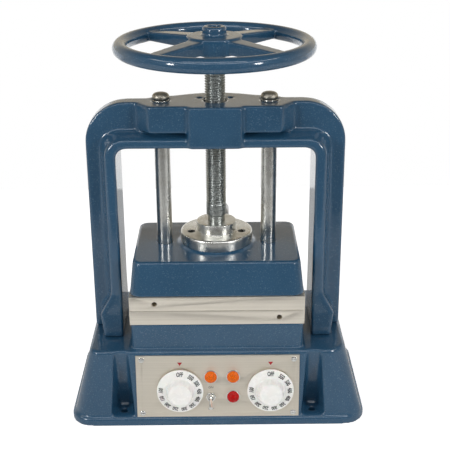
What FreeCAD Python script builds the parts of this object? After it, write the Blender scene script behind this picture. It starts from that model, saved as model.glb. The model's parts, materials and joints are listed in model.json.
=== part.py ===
import FreeCAD, Part
import math
import os
import re
import Sketcher

# Bench press that vulcanizes rubber moulds between two heated platens.
# Millimetres. The origin is on the bench under the screw, +Z is up and the front faces -Y.
# It is drawn closed: the upper platen rests 0.3 mm over the lower one.

os.makedirs("parts", exist_ok=True)
doc = FreeCAD.newDocument("mold_vulcanizer")
vector = FreeCAD.Vector

# Driving dimensions
sizes = {
    # base casting: its foot, its sloping sides and its top deck
    "base_width": 371, "base_front": 91, "base_rear": 106, "base_height": 101,
    "deck_width": 316, "deck_front": 82.6, "deck_rear": 92,
    "lip_height": 10.5, "lip_step": 3.5, "base_corner": 28, "lip_round": 3, "slope_corner_low": 26,
    "slope_corner_high": 15, "edge_round": 4, "wall": 7, "deck_thick": 9, "ledge_inset": 6,
    # recesses in the slopes for the bolts that hold the base on its bench
    "recess_side": 119, "recess_floor": 12, "recess_depth": 30, "recess_depth_top": 1.1, "recess_half": 14.8,
    "recess_half_top": 8.7, "recess_draft": 12.8, "recess_out": 8, "recess_corner": 5,
    "recess_floor_round": 4, "bench_hole": 4.5, "bench_hole_inset": 15,
    # cover plate under the base, on four posts
    "cover_thick": 2, "cover_inset": 2, "cover_gap": 0.5, "cover_screw": 2.5, "cover_screw_long": 10,
    "screw_head": 4.2, "screw_head_tall": 1.6, "post_inset": 12, "post_apart": 96, "post_shift": 8,
    "post_wall": 4, "vent_long": 60, "vent_wide": 4, "vent_step": 12, "vent_first": 30, "vent_count": 6,
    # pedestal and platens
    "pedestal_width": 212, "pedestal_depth": 152, "pedestal_height": 34, "pedestal_corner": 6, "pan_rim": 6,
    "insulation_thick": 12, "insulation_gap": 0.2, "platen_width": 213.4, "platen_depth": 153.4,
    "platen_thick": 18.2, "platen_corner": 1, "parting_gap": 0.3, "seat_gap": 0.3,
    "heater_radius": 4.75, "heater_length": 140, "heater_spacing": 48, "heater_out": 1, "bulb_radius": 3,
    "bulb_length": 70, "well_radius": 3.2, "well_length": 45, "well_side": 76, "platen_bolt": 4,
    "platen_bolt_side": 84, "platen_bolt_depth": 56, "platen_bolt_tap": 9, "platen_bolt_gap": 0.3,
    "bolt_head": 6.5, "bolt_head_tall": 6,
    # upper housing over the upper platen
    "housing_height": 42, "housing_top_width": 203, "housing_top_depth": 135, "housing_corner": 12,
    "housing_wall": 7, "rod_socket_radius": 16, "rod_socket_deep": 26,
    # thrust flange that holds the foot of the screw
    "pad_height": 2.7, "pad_lip": 0.4, "pad_flare": 3, "flange_radius": 44.9, "flange_thick": 14,
    "flange_chamfer": 2, "collar_radius": 24.8, "collar_height": 12, "flange_bolt_circle": 32.6,
    "flange_bolt_angle": 15, "flange_bolt": 3, "flange_bolt_head": 4.6, "flange_sink": 10,
    "flange_bolt_long": 17, "foot_radius": 17.8, "foot_thick": 6, "washer_thick": 2.5, "running_gap": 0.3,
    "bore_gap": 0.06,
    # lifting screw
    "screw_radius": 12.4, "screw_pitch": 3.175, "thread_deep": 1.5, "neck_radius": 10.4, "neck_rise": 9,
    "neck_chamfer": 1.5, "plain_length": 13, "groove_deep": 0.7, "journal_radius": 9.5, "journal_drop": 1,
    "screw_sink": 7,
    # guide rods and their caps
    "rod_side": 65, "rod_radius": 9.525, "rod_clear": 0.5, "cap_radius": 10.5, "cap_height": 9,
    "cap_spigot": 4, "cap_spigot_long": 8, "bush_radius": 13, "bush_sink": 6,
    # arch
    "arch_width": 314, "web_thick": 24, "shoulder": 50, "opening_width": 237.8, "opening_top": 346,
    "opening_corner": 12, "crosshead_tall": 50.5, "rib_depth": 75, "rib_face": 12.5, "rib_root": 24,
    "rib_crown": 11, "rib_crown_root": 20, "rib_corner": 24, "foot_width": 24, "foot_depth": 90,
    "foot_flare": 4, "foot_flare_depth": 81, "foot_flare_rise": 29, "foot_height": 57,
    "rod_boss_width": 43, "rod_boss_front": 34, "rod_boss_tall": 32.5, "rod_boss_inner": 34,
    "rod_boss_outer": 13, "rod_boss_root": 30, "rod_boss_round": 3, "middle_boss_width": 65,
    "middle_boss_front": 41, "middle_boss_rear": 36.5, "middle_boss_round": 4, "blend_near": 30,
    "blend_near_rear": 33, "blend_far": 51, "blend_far_rear": 24.5, "nut_radius": 19.5, "nut_drop": 3,
    "nut_sink": 6, "nut_clear": 0.9, "key_angle": 27, "key_radius": 2.5, "key_length": 14, "key_sink": 2,
    "arch_bolt": 5, "arch_bolt_deep": 30, "arch_bolt_side": 129.65, "arch_bolt_apart": 44,
    "arch_bolt_head": 8, "arch_bolt_gap": 0.5,
    # handwheel; the hub starts wheel_clear over the arch
    "wheel_radius": 119.8, "rim_radius": 9, "wheel_clear": 52.5, "rim_rise": 12.2, "hub_radius": 14.3,
    "hub_tall": 35, "hub_root_radius": 17, "hub_chamfer": 2, "disc_radius": 33, "disc_rise": 24.5,
    "disc_thick": 20, "spoke_root_width": 24, "spoke_root_drop": 1, "spoke_root_deep": 17.5,
    "spoke_tip_width": 17, "spoke_tip_rise": 4.5, "spoke_tip_deep": 10.7, "spoke_count": 4, "wheel_turn": 48,
    "key_side": 5, "key_tall": 16, "key_end_gap": 2, "hub_screw_radius": 4, "hub_screw_head": 7,
    "hub_screw_long": 12, "hub_screw_gap": 0.5, "hub_sink": 6,
    # control panel and what it carries
    "panel_width": 202, "panel_height": 84.2, "panel_thick": 2, "panel_up": 1.5, "window_rim": 9,
    "panel_screw_side": 94, "panel_screw_edge": 5.5, "panel_screw": 1.7, "panel_screw_head": 3.6,
    "panel_screw_tall": 1.4, "panel_screw_drive": 1.3,
    "dial_left": -46.8, "dial_right": 65.4, "dial_up": 37.5, "dial_radius": 29, "skirt_thick": 2.5,
    "skirt_rise": 6, "grip_radius": 16, "grip_front": 14, "grip_height": 12, "dial_gap": 2,
    "shaft_radius": 3, "shaft_neck": 2, "thermostat_wide": 34, "thermostat_tall": 44, "thermostat_deep": 26,
    "lamp_left": -8.6, "lamp_right": 19, "lamp_up": 55.5, "lower_row_up": 28, "lamp_radius": 7.6,
    "lamp_rise": 6, "lamp_barrel": 5.5, "lamp_deep": 24, "bezel_radius": 8.6, "bezel_thick": 1,
    "switch_nut_radius": 6.4, "switch_nut_thick": 2.5, "switch_bush": 4, "switch_bush_out": 6,
    "switch_bush_wall": 1, "lever_radius": 1.6, "lever_tip": 2.6, "lever_length": 16, "lever_tilt": 25,
    "lever_sink": 2, "switch_wide": 14, "switch_tall": 28, "switch_deep": 18,
    # power inlets at the back
    "gland_radius": 8, "gland_out": 14, "gland_nut": 12, "gland_nut_thick": 4, "gland_bore": 4,
    "gland_level": 45, "gland_side": 60, "lead_side": 9, "lead_inset": 12, "lead_radius": 7, "lead_nut": 9,
    "lead_rise": 17, "lead_out": 19, "lead_post": 24, "terminal_long": 60, "terminal_wide": 20,
    "terminal_tall": 18, "terminal_screw": 2, "terminal_step": 9, "terminal_count": 6,
}
sheet = doc.addObject("Spreadsheet::Sheet", "dims")
for row, (alias, number) in enumerate(sizes.items(), start=1):
    sheet.set("A%d" % row, alias)
    sheet.set("B%d" % row, str(number))
    sheet.setAlias("B%d" % row, alias)
doc.recompute()

# Levels and offsets that several pieces share
levels = {
    "pedestal_top": "base_height + pedestal_height",
    "lower_platen_top": "pedestal_top + platen_thick",
    "upper_platen_low": "lower_platen_top + parting_gap",
    "housing_low": "upper_platen_low + platen_thick",
    "housing_top": "housing_low + housing_height",
    "pad_top": "housing_top + pad_height",
    "flange_top": "pad_top + flange_thick",
    "collar_top": "flange_top + collar_height",
    "foot_low": "pad_top + washer_thick + running_gap",
    "foot_top": "foot_low + foot_thick",
    "neck_top": "collar_top + neck_rise",
    "arch_top": "opening_top + crosshead_tall",
    "nut_low": "opening_top - nut_drop",
    "hub_low": "arch_top + wheel_clear",
    "hub_top": "hub_low + hub_tall",
    "rim_level": "hub_low + rim_rise",
    "disc_top": "hub_low + disc_rise",
    "screw_top": "hub_top - screw_sink",
    "key_low": "hub_top - hub_sink - key_tall - key_end_gap",
    "slope_front": "base_front - lip_step",
    "slope_rear": "base_rear - lip_step",
    "post_side": "deck_width / 2 - wall - post_inset",
    "lead_depth": "housing_top_depth / 2 - lead_inset",
}
panel_tilt = math.degrees(math.atan((sizes["base_front"] - sizes["lip_step"] - sizes["deck_front"])
                                    / (sizes["base_height"] - sizes["lip_height"])))
pieces = {}


def size(alias):
    return float(getattr(sheet, alias))


def in_cells(text):
    """Point each size named in an expression at its spreadsheet cell and write out each level."""
    def cell(word):
        name = word.group()
        if name in levels:
            return "(" + in_cells(levels[name]) + ")"
        return "dims." + name if name in sizes else name
    return re.sub(r"[a-z_]+", cell, str(text))


def value(text):
    """Number that an expression of sizes and levels comes to."""
    return float(sheet.evalExpression(in_cells(text)))


def bind(thing, **texts):
    for name, text in texts.items():
        thing.setExpression(name, in_cells(text))
    return thing


def put(thing, x="0", y="0", z="0", turn=None):
    """Place an object by three expressions; turn is an axis and an angle in degrees."""
    if turn:
        thing.Placement.Rotation = FreeCAD.Rotation(vector(*turn[0]), turn[1])
    for axis, text in zip("xyz", (x, y, z)):
        thing.setExpression("Placement.Base." + axis, in_cells(text))
    return thing


def block(name, wide, deep, tall, x="0", y="0", z="0"):
    """Box centred on x and y, standing on z."""
    box = bind(doc.addObject("Part::Box", name), Length=wide, Width=deep, Height=tall)
    return put(box, f"{x} - ({wide}) / 2", f"{y} - ({deep}) / 2", z)


def pin(name, radius, long, x="0", y="0", z="0", turn=None):
    rod = bind(doc.addObject("Part::Cylinder", name), Radius=radius, Height=long)
    return put(rod, x, y, z, turn)


def cone(name, low_radius, high_radius, tall, x="0", y="0", z="0", turn=None):
    frustum = bind(doc.addObject("Part::Cone", name), Radius1=low_radius, Radius2=high_radius, Height=tall)
    return put(frustum, x, y, z, turn)


def taper(name, low, high, tall, z="0"):
    """Block between two rectangles, each (half width, front, rear) measured from the screw's axis."""
    wedge = doc.addObject("Part::Wedge", name)
    bind(wedge, Xmin=f"-({low[0]})", Xmax=low[0], Zmin=f"-({low[2]})", Zmax=low[1], Ymin="0", Ymax=tall,
         X2min=f"-({high[0]})", X2max=high[0], Z2min=f"-({high[2]})", Z2max=high[1])
    return put(wedge, z=z, turn=((1, 0, 0), 90))


def fuse(name, things):
    union = doc.addObject("Part::MultiFuse", name)
    union.Shapes = things
    union.Refine = True
    return union


def cut(name, base, tools):
    result = doc.addObject("Part::Cut", name)
    result.Base = base
    result.Tool = tools[0] if len(tools) == 1 else fuse(name + "_tools", tools)
    return result


def common(name, things):
    both = doc.addObject("Part::MultiCommon", name)
    both.Shapes = things
    return both


def rounded(name, base, radius, pick, high_radius=None):
    """Round the edges of base that pick chooses; high_radius is the radius at their upper ends."""
    doc.recompute()
    edges = []
    for i, edge in enumerate(base.Shape.Edges, start=1):
        if pick(edge):
            rising = edge.firstVertex(True).Point.z <= edge.lastVertex(True).Point.z
            low, high = radius, high_radius or radius
            edges.append((i, low, high) if rising else (i, high, low))
    fillet = doc.addObject("Part::Fillet", name)
    fillet.Base = base
    fillet.Edges = edges
    return fillet


def direction(edge):
    ends = [vertex.Point for vertex in edge.Vertexes]
    return (ends[-1] - ends[0]).normalize() if len(ends) > 1 and edge.Length > 0.01 else vector()


def upright(edge):
    return abs(direction(edge).z) > 0.8


def front_to_back(edge):
    return abs(direction(edge).y) > 0.8


def around_top(base):
    """Pick the edges that lie in the plane of the highest corner of base."""
    doc.recompute()
    level = max(vertex.Point.z for vertex in base.Shape.Vertexes)

    def test(edge):
        return all(abs(vertex.Point.z - level) < 0.01 for vertex in edge.Vertexes)
    return test


def outline(name, points, turn=None):
    """Closed polygon sketch; every corner is held by two bound distances from the origin."""
    sketch = doc.addObject("Sketcher::SketchObject", name)
    draw(sketch, points)
    if turn:
        sketch.Placement.Rotation = FreeCAD.Rotation(vector(*turn[0]), turn[1])
    return sketch


def draw(sketch, points):
    count = len(points)
    for i in range(count):
        here, there = 2 * math.pi * i / count, 2 * math.pi * (i + 1) / count
        sketch.addGeometry(Part.LineSegment(vector(math.cos(here), math.sin(here), 0),
                                            vector(math.cos(there), math.sin(there), 0)))
    for i in range(count):
        sketch.addConstraint(Sketcher.Constraint("Coincident", i, 2, (i + 1) % count, 1))
    for i, (across, up) in enumerate(points):
        for kind, text in (("DistanceX", across), ("DistanceY", up)):
            held = sketch.addConstraint(Sketcher.Constraint(kind, -1, 1, i, 1, 1.0))
            sketch.setExpression("Constraints[%d]" % held, in_cells(text))


def turned(name, points):
    """Solid of revolution about Z from (radius, height) corners."""
    solid = doc.addObject("Part::Revolution", name)
    solid.Source = outline(name + "_profile", points, ((1, 0, 0), 90))
    solid.Axis, solid.Base, solid.Angle, solid.Solid = vector(0, 0, 1), vector(), 360, True
    return solid


def slab(name, points, tall, z):
    """Upright solid over a polygon, standing on z."""
    solid = doc.addObject("Part::Extrusion", name)
    solid.Base = put(outline(name + "_plan", points), z=z)
    solid.DirMode, solid.Dir, solid.Solid = "Custom", vector(0, 0, 1), True
    return bind(solid, LengthFwd=tall)


def loft(name, sections):
    """Straight-sided solid through polygons, each given as (level, points)."""
    rings = [put(outline(f"{name}_section_{i}", points), z=level)
             for i, (level, points) in enumerate(sections)]
    solid = doc.addObject("Part::Loft", name)
    solid.Sections, solid.Solid, solid.Ruled = rings, True, True
    return solid


def corners(name):
    """The four ways to the corners of the part, as (name, side, end)."""
    return [(f"{name}_{side_name(side)}_{'front' if end < 0 else 'rear'}", side, end)
            for side in (-1, 1) for end in (-1, 1)]


def group(name, things):
    several = doc.addObject("Part::Compound", name)
    several.Links = things
    return several


def piece(label, thing):
    thing.Label = label
    pieces[label] = thing
    return thing


def side_name(side):
    return "left" if side < 0 else "right"


# Base casting

def recess(name, side, end):
    """Bolt recess in the front or rear slope, deeper and wider towards its floor."""
    foot, deck = ("slope_front", "deck_front") if end < 0 else ("slope_rear", "deck_rear")
    mouth = f"({foot} + recess_out)"
    sections = []
    for level, half, face, deep in (("recess_floor", "recess_half", foot, "recess_depth"),
                                    ("base_height + 1", "recess_half_top", deck, "recess_depth_top")):
        wide = f"({half} + tan(recess_draft) * ({mouth} - {face}))"
        narrow = f"({half} - tan(recess_draft) * {deep})"
        back = f"({face} - {deep})"
        sections.append((level, [(f"{side} * recess_side + {way} * {part}", f"{end} * {reach}")
                                 for way, part, reach in ((-1, wide, mouth), (1, wide, mouth),
                                                          (1, narrow, back), (-1, narrow, back))]))
    limit, floor = value(foot), size("recess_floor")
    pocket = rounded(name + "_corners", loft(name + "_pocket", sections), size("recess_corner"),
                     lambda edge: upright(edge) and abs(edge.CenterOfMass.y) < limit)
    return rounded(name, pocket, size("recess_floor_round"),
                   lambda edge: all(abs(vertex.Point.z - floor) < 0.01 for vertex in edge.Vertexes)
                   and abs(edge.CenterOfMass.y) < limit)


def recess_spot(end, back_off):
    """Distance from the screw's axis to a point back_off outwards from the back of a recess floor."""
    return f"{end} * ({'slope_front' if end < 0 else 'slope_rear'} - recess_depth + {back_off})"


def recess_walls(name, grown, tall, low):
    return [block(tag, f"2 * (recess_half + wall + {grown})", f"2 * (recess_depth + {grown})", tall,
                  f"{side} * recess_side", recess_spot(end, "recess_depth - wall"), low)
            for tag, side, end in corners(name)]


def post_pins(name, radius, long, low):
    return [pin(tag, radius, long, f"{side} * post_side", f"{end} * post_apart / 2 + post_shift", low)
            for tag, side, end in corners(name)]


def base_outside():
    lip = rounded("base_lip", block("base_lip_block", "base_width", "base_front + base_rear", "lip_height",
                                    y="(base_rear - base_front) / 2"), size("base_corner"), upright)
    lip = rounded("base_lip_soft", lip, size("lip_round"), around_top(lip))
    slope = taper("base_slope_block", ("base_width / 2 - lip_step", "slope_front", "slope_rear"),
                  ("deck_width / 2", "deck_front", "deck_rear"), "base_height - lip_height", "lip_height")
    slope = rounded("base_slope_corners", slope, size("slope_corner_low"), upright, size("slope_corner_high"))
    slope = rounded("base_slope", slope, size("edge_round"), around_top(slope))
    pedestal = rounded("pedestal_block", block("pedestal_raw", "pedestal_width", "pedestal_depth",
                                               "pedestal_height + deck_thick", z="base_height - deck_thick"),
                       size("pedestal_corner"), upright)
    return fuse("base_outside", [lip, slope, pedestal])


def base_casting():
    outside = base_outside()
    inside = taper("base_inside_block", ("base_width / 2 - lip_step - wall", "slope_front - wall",
                                         "slope_rear - wall"),
                   ("deck_width / 2 - wall", "deck_front - wall", "deck_rear - wall"),
                   "base_height - lip_height - deck_thick + 1", "lip_height - 1")
    inside = rounded("base_inside", inside, size("slope_corner_low") - size("wall"), upright,
                     size("slope_corner_high") - size("wall"))
    ledge = block("base_ledge", "base_width - 2 * (lip_step + wall + ledge_inset)",
                  "slope_front + slope_rear - 2 * (wall + ledge_inset)", "lip_height + 2",
                  y="(slope_rear - slope_front) / 2", z="-1")
    attic = block("pedestal_inside", "pedestal_width - 2 * wall", "pedestal_depth - 2 * wall",
                  "pedestal_height - insulation_thick + 1", z="base_height - deck_thick - 1")
    kept = recess_walls("recess_wall", 0, "base_height + 4", "-2")
    kept += post_pins("cover_post", "cover_screw + post_wall", "base_height", "cover_inset + cover_thick")
    tools = [cut("base_cavity", fuse("base_room", [inside, ledge, attic]), kept)]
    tools += [recess(tag, side, end) for tag, side, end in corners("recess")]
    tools += [pin(tag, "bench_hole", "recess_floor + 2", f"{side} * recess_side",
                  recess_spot(end, "bench_hole_inset"), "-1") for tag, side, end in corners("bench_hole")]
    tools.append(block("insulation_pan", "pedestal_width - 2 * pan_rim", "pedestal_depth - 2 * pan_rim",
                       "insulation_thick + 1", z="pedestal_top - insulation_thick"))
    tools.append(block("panel_window", "panel_width - 2 * window_rim", "recess_depth + wall",
                       "panel_height - 2 * window_rim", y="-deck_front",
                       z="lip_height + panel_up + window_rim"))
    tools += arch_bolt_holes("deck", "arch_bolt + arch_bolt_gap", "base_height - deck_thick - 1",
                             "deck_thick + 2")
    tools += platen_bolt_holes("deck", "pedestal_top - insulation_thick - deck_thick - 1", "deck_thick + 2")
    tools.append(pin("base_gland_hole", "gland_radius", "5 * wall", "gland_side", "base_rear + wall",
                     "gland_level", ((1, 0, 0), 90)))
    tools += post_pins("cover_tap", "cover_screw", "cover_screw_long + 2", "0")
    piece("base_casting", cut("base_casting", outside, tools))


def arch_bolt_holes(name, radius, low, long):
    return [pin(tag, radius, long, f"{side} * arch_bolt_side", f"{end} * arch_bolt_apart / 2", low)
            for tag, side, end in corners(name + "_arch_hole")]


def platen_bolt_holes(name, low, long, radius="platen_bolt + platen_bolt_gap"):
    return [pin(tag, radius, long, f"{side} * platen_bolt_side", f"{end} * platen_bolt_depth", low)
            for tag, side, end in corners(name + "_platen_hole")]


def base_cover():
    plate = block("cover_plate", "base_width - 2 * (lip_step + wall + ledge_inset + cover_gap)",
                  "slope_front + slope_rear - 2 * (wall + ledge_inset + cover_gap)", "cover_thick",
                  y="(slope_rear - slope_front) / 2", z="cover_inset")
    tools = post_pins("cover_hole", "cover_screw + 0.2", "cover_thick + 2", "cover_inset - 1")
    tools += recess_walls("cover_notch", "cover_gap", "cover_thick + 2", "cover_inset - 1")
    tools += [block(f"vent_{i}", "vent_long", "vent_wide", "cover_thick + 2",
                    y=f"vent_step * {i} - vent_first", z="cover_inset - 1")
              for i in range(int(size("vent_count")))]
    piece("base_cover", cut("base_cover", plate, tools))
    shanks = post_pins("cover_screw_shank", "cover_screw", "cover_screw_long", "cover_inset - 0.5")
    heads = post_pins("cover_screw_head", "screw_head", "screw_head_tall", "cover_inset - screw_head_tall")
    piece("base_cover_screws", group("base_cover_screws", [
        fuse(f"cover_screw_{i}", pair) for i, pair in enumerate(zip(shanks, heads))]))


# Arch over the platens

def arch_rib(name, end):
    """Tapered front or rear flange that borders the opening."""
    wedge = doc.addObject("Part::Wedge", name)
    bind(wedge, Ymin="0", Ymax="rib_depth / 2", Xmin="-(opening_width / 2 + rib_root)",
         Xmax="opening_width / 2 + rib_root", Zmin="base_height", Zmax="opening_top + rib_crown_root",
         X2min="-(opening_width / 2 + rib_face)", X2max="opening_width / 2 + rib_face", Z2min="base_height",
         Z2max="opening_top + rib_crown")
    if end < 0:
        wedge.Placement.Rotation = FreeCAD.Rotation(vector(0, 0, 1), 180)
    return rounded(name + "_round", wedge, size("rib_corner"),
                   lambda edge: front_to_back(edge) and edge.BoundBox.ZMax > size("opening_top"))


def arch_foot(side):
    """Foot of a leg: it flares outwards from its sole and then narrows into the rib."""
    steps = (("base_height", "foot_width", "foot_depth"),
             ("base_height + foot_flare_rise", "foot_width + foot_flare", "foot_flare_depth"),
             ("base_height + foot_height", "rib_face", "rib_depth"))
    sections = []
    for level, reach, depth in steps:
        inner, outer = f"{side} * opening_width / 2", f"{side} * (opening_width / 2 + {reach})"
        sections.append((level, [(inner, f"-{depth} / 2"), (outer, f"-{depth} / 2"),
                                 (outer, f"{depth} / 2"), (inner, f"{depth} / 2")]))
    return loft(f"arch_foot_{side_name(side)}", sections)


def rod_boss(side):
    """Boss in front of a guide rod; its outer side slopes back to the web."""
    name = side_name(side)
    inner, outer = f"{side} * (rod_side - rod_boss_inner)", f"{side} * (rod_side + rod_boss_outer)"
    root = f"{side} * (rod_side + rod_boss_root)"
    block_shape = slab(f"rod_boss_block_{name}", [
        (inner, "0"), (inner, "-rod_boss_front"), (outer, "-rod_boss_front"), (root, "-web_thick / 2"),
        (root, "0")], "rod_boss_tall", "arch_top - rod_boss_tall")
    face = size("rod_boss_front")
    return rounded(f"rod_boss_{name}", block_shape, size("rod_boss_round"),
                   lambda edge: upright(edge) and edge.BoundBox.YMax < 1 - face)


def arch_frame():
    web = rounded("arch_web", block("arch_web_block", "arch_width", "web_thick", "arch_top - base_height",
                                    z="base_height"), size("shoulder"),
                  lambda edge: front_to_back(edge) and edge.BoundBox.ZMax > size("opening_top"))
    solids = [web, arch_rib("rib_front", -1), arch_rib("rib_rear", 1)]
    solids += [build(side) for build in (arch_foot, rod_boss) for side in (-1, 1)]
    solids += [pin(f"rod_boss_rear_{side_name(side)}", "rod_boss_width / 2", "crosshead_tall",
                   f"{side} * rod_side", z="opening_top") for side in (-1, 1)]
    solids.append(rounded("middle_boss", block("middle_boss_block", "middle_boss_width", "middle_boss_front",
                                               "crosshead_tall", y="-middle_boss_front / 2", z="opening_top"),
                          size("middle_boss_round"), lambda edge: upright(edge) and edge.BoundBox.YMax < -1))
    half = [("rod_side", "0"), ("rod_side", "rod_boss_width / 2"), ("blend_far", "blend_far_rear"),
            ("blend_near", "blend_near_rear"), ("middle_boss_width / 4", "middle_boss_rear")]
    solids.append(slab("crosshead_rear", half + [(f"-{across}", back) for across, back in reversed(half)],
                       "crosshead_tall", "opening_top"))
    body = fuse("arch_body", solids)
    opening = rounded("arch_opening", block("arch_opening_block", "opening_width", "2 * foot_depth",
                                            "opening_top - base_height + 1", z="base_height - 1"),
                      size("opening_corner"),
                      lambda edge: front_to_back(edge) and edge.BoundBox.ZMax > size("opening_top") - 1)
    tools = [opening] + bore_and_mouth("nut", "nut_radius", "nut_sink", "screw_radius + nut_clear", "0")
    for side in (-1, 1):
        tools += bore_and_mouth(f"bush_{side_name(side)}", "bush_radius", "bush_sink",
                                "rod_radius + rod_clear", f"{side} * rod_side")
    tools += key_places("arch", "key_length + 1")
    tools += arch_bolt_holes("leg", "arch_bolt", "base_height - 1", "arch_bolt_deep + 1")
    piece("arch_frame", cut("arch_frame", body, tools))


def bore_and_mouth(name, radius, sink, mouth, x):
    """Bore that takes a sleeve from below, and the smaller mouth left over it."""
    return [pin(f"{name}_seat", radius, f"crosshead_tall - {sink} + 1", x, z="opening_top - 1"),
            pin(f"{name}_mouth", mouth, f"{sink} + 2", x, z=f"arch_top - {sink} - 1")]


def key_places(name, long):
    """Two set screws on the seam between the nut and its boss, behind the screw."""
    return [pin(f"{name}_key_{side_name(side)}", "key_radius", long,
                f"{side} * (nut_radius + key_radius / 2) * cos(key_angle)",
                "(nut_radius + key_radius / 2) * sin(key_angle)", "arch_top - key_length")
            for side in (-1, 1)]


def arch_bolts():
    bolts = []
    shanks = arch_bolt_holes("arch_bolt_shank", "arch_bolt", "base_height - deck_thick",
                             "deck_thick + arch_bolt_deep - 3")
    for shank, (tag, side, end) in zip(shanks, corners("arch_bolt")):
        head = doc.addObject("Part::Prism", tag + "_head")
        bind(head, Circumradius="arch_bolt_head", Height="bolt_head_tall")
        put(head, f"{side} * arch_bolt_side", f"{end} * arch_bolt_apart / 2",
            "base_height - deck_thick - bolt_head_tall")
        bolts.append(fuse(tag, [head, shank]))
    piece("arch_bolts", group("arch_bolts", bolts))


def screw_nut():
    sleeve = pin("nut_sleeve", "nut_radius", "arch_top - nut_sink - nut_low", z="nut_low")
    bore = pin("nut_inside", "screw_radius + bore_gap", "arch_top - nut_low", z="nut_low - 1")
    piece("screw_nut", cut("screw_nut", sleeve, [bore] + key_places("nut", "key_length + 1")))
    piece("nut_set_screws", group("nut_set_screws", key_places("set_screw", "key_length - key_sink")))


def guide_bushes():
    for side in (-1, 1):
        name, where = side_name(side), f"{side} * rod_side"
        sleeve = pin(f"bush_sleeve_{name}", "bush_radius", "crosshead_tall - bush_sink", where,
                     z="opening_top")
        bore = pin(f"bush_inside_{name}", "rod_radius + bore_gap", "crosshead_tall", where,
                   z="opening_top - 1")
        piece(f"guide_bush_{name}", cut(f"guide_bush_{name}", sleeve, [bore]))


# Platens, their insulation, heaters and bolts

def platen(which, low, well, bolts_up):
    """Platen with its heater and bulb bores, and the thermometer well in its front face."""
    plate = rounded(f"{which}_platen_plate", block(f"{which}_platen_block", "platen_width", "platen_depth",
                                                   "platen_thick", z=low), size("platen_corner"), upright)
    middle = f"{low} + platen_thick / 2"
    rear = "platen_depth / 2 + heater_out"
    lengthwise = ((1, 0, 0), 90)

    def heaters(name, gap, more):
        return [pin(f"{which}_{name}_{i}", f"heater_radius + {gap}", f"heater_length + {more}",
                    f"{i} * heater_spacing", rear, middle, lengthwise) for i in (-1, 0, 1)]

    tools = heaters("heater_bore", "bore_gap", 2)
    tools.append(pin(f"{which}_bulb_bore", "bulb_radius + bore_gap", "bulb_length + 1", "heater_spacing / 2",
                     rear, middle, lengthwise))
    tools.append(pin(f"{which}_well", "well_radius", "well_length + 1", f"{well} * well_side",
                     "-platen_depth / 2 - 1", middle, ((1, 0, 0), -90)))
    bolt_low = f"{low} - 1" if bolts_up else f"{low} + platen_thick - platen_bolt_tap"
    tools += platen_bolt_holes(which, bolt_low, "platen_bolt_tap + 1", "platen_bolt")
    piece(f"{which}_platen", cut(f"{which}_platen", plate, tools))
    piece(f"{which}_heaters", group(f"{which}_heaters", heaters("heater", 0, 0)))
    piece(f"{which}_bulb", pin(f"{which}_bulb", "bulb_radius", "bulb_length", "heater_spacing / 2", rear,
                               middle, lengthwise))


def insulation(which, low):
    board = block(f"{which}_board", "pedestal_width - 2 * (pan_rim + insulation_gap)",
                  "pedestal_depth - 2 * (pan_rim + insulation_gap)", "insulation_thick", z=low)
    holes = platen_bolt_holes(f"{which}_board", f"{low} - 1", "insulation_thick + 2")
    piece(f"{which}_insulation", cut(f"{which}_insulation", board, holes))


def platen_bolts(which, low, head_low):
    shanks = platen_bolt_holes(f"{which}_shank", low, "deck_thick + insulation_thick + platen_bolt_tap - 1",
                               "platen_bolt")
    heads = platen_bolt_holes(f"{which}_head", head_low, "bolt_head_tall", "bolt_head")
    piece(f"{which}_platen_bolts", group(f"{which}_platen_bolts", [
        fuse(f"{which}_platen_bolt_{i}", pair) for i, pair in enumerate(zip(shanks, heads))]))


def lower_stack():
    platen("lower", "pedestal_top", 1, True)
    insulation("lower", "pedestal_top - insulation_thick")
    deck_low = "pedestal_top - insulation_thick - deck_thick"
    platen_bolts("lower", deck_low, f"{deck_low} - bolt_head_tall")


def upper_stack():
    platen("upper", "upper_platen_low", -1, False)
    insulation("upper", "housing_low")
    platen_bolts("upper", "housing_low - platen_bolt_tap + 1", "housing_low + insulation_thick + deck_thick")


# Upper housing

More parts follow.
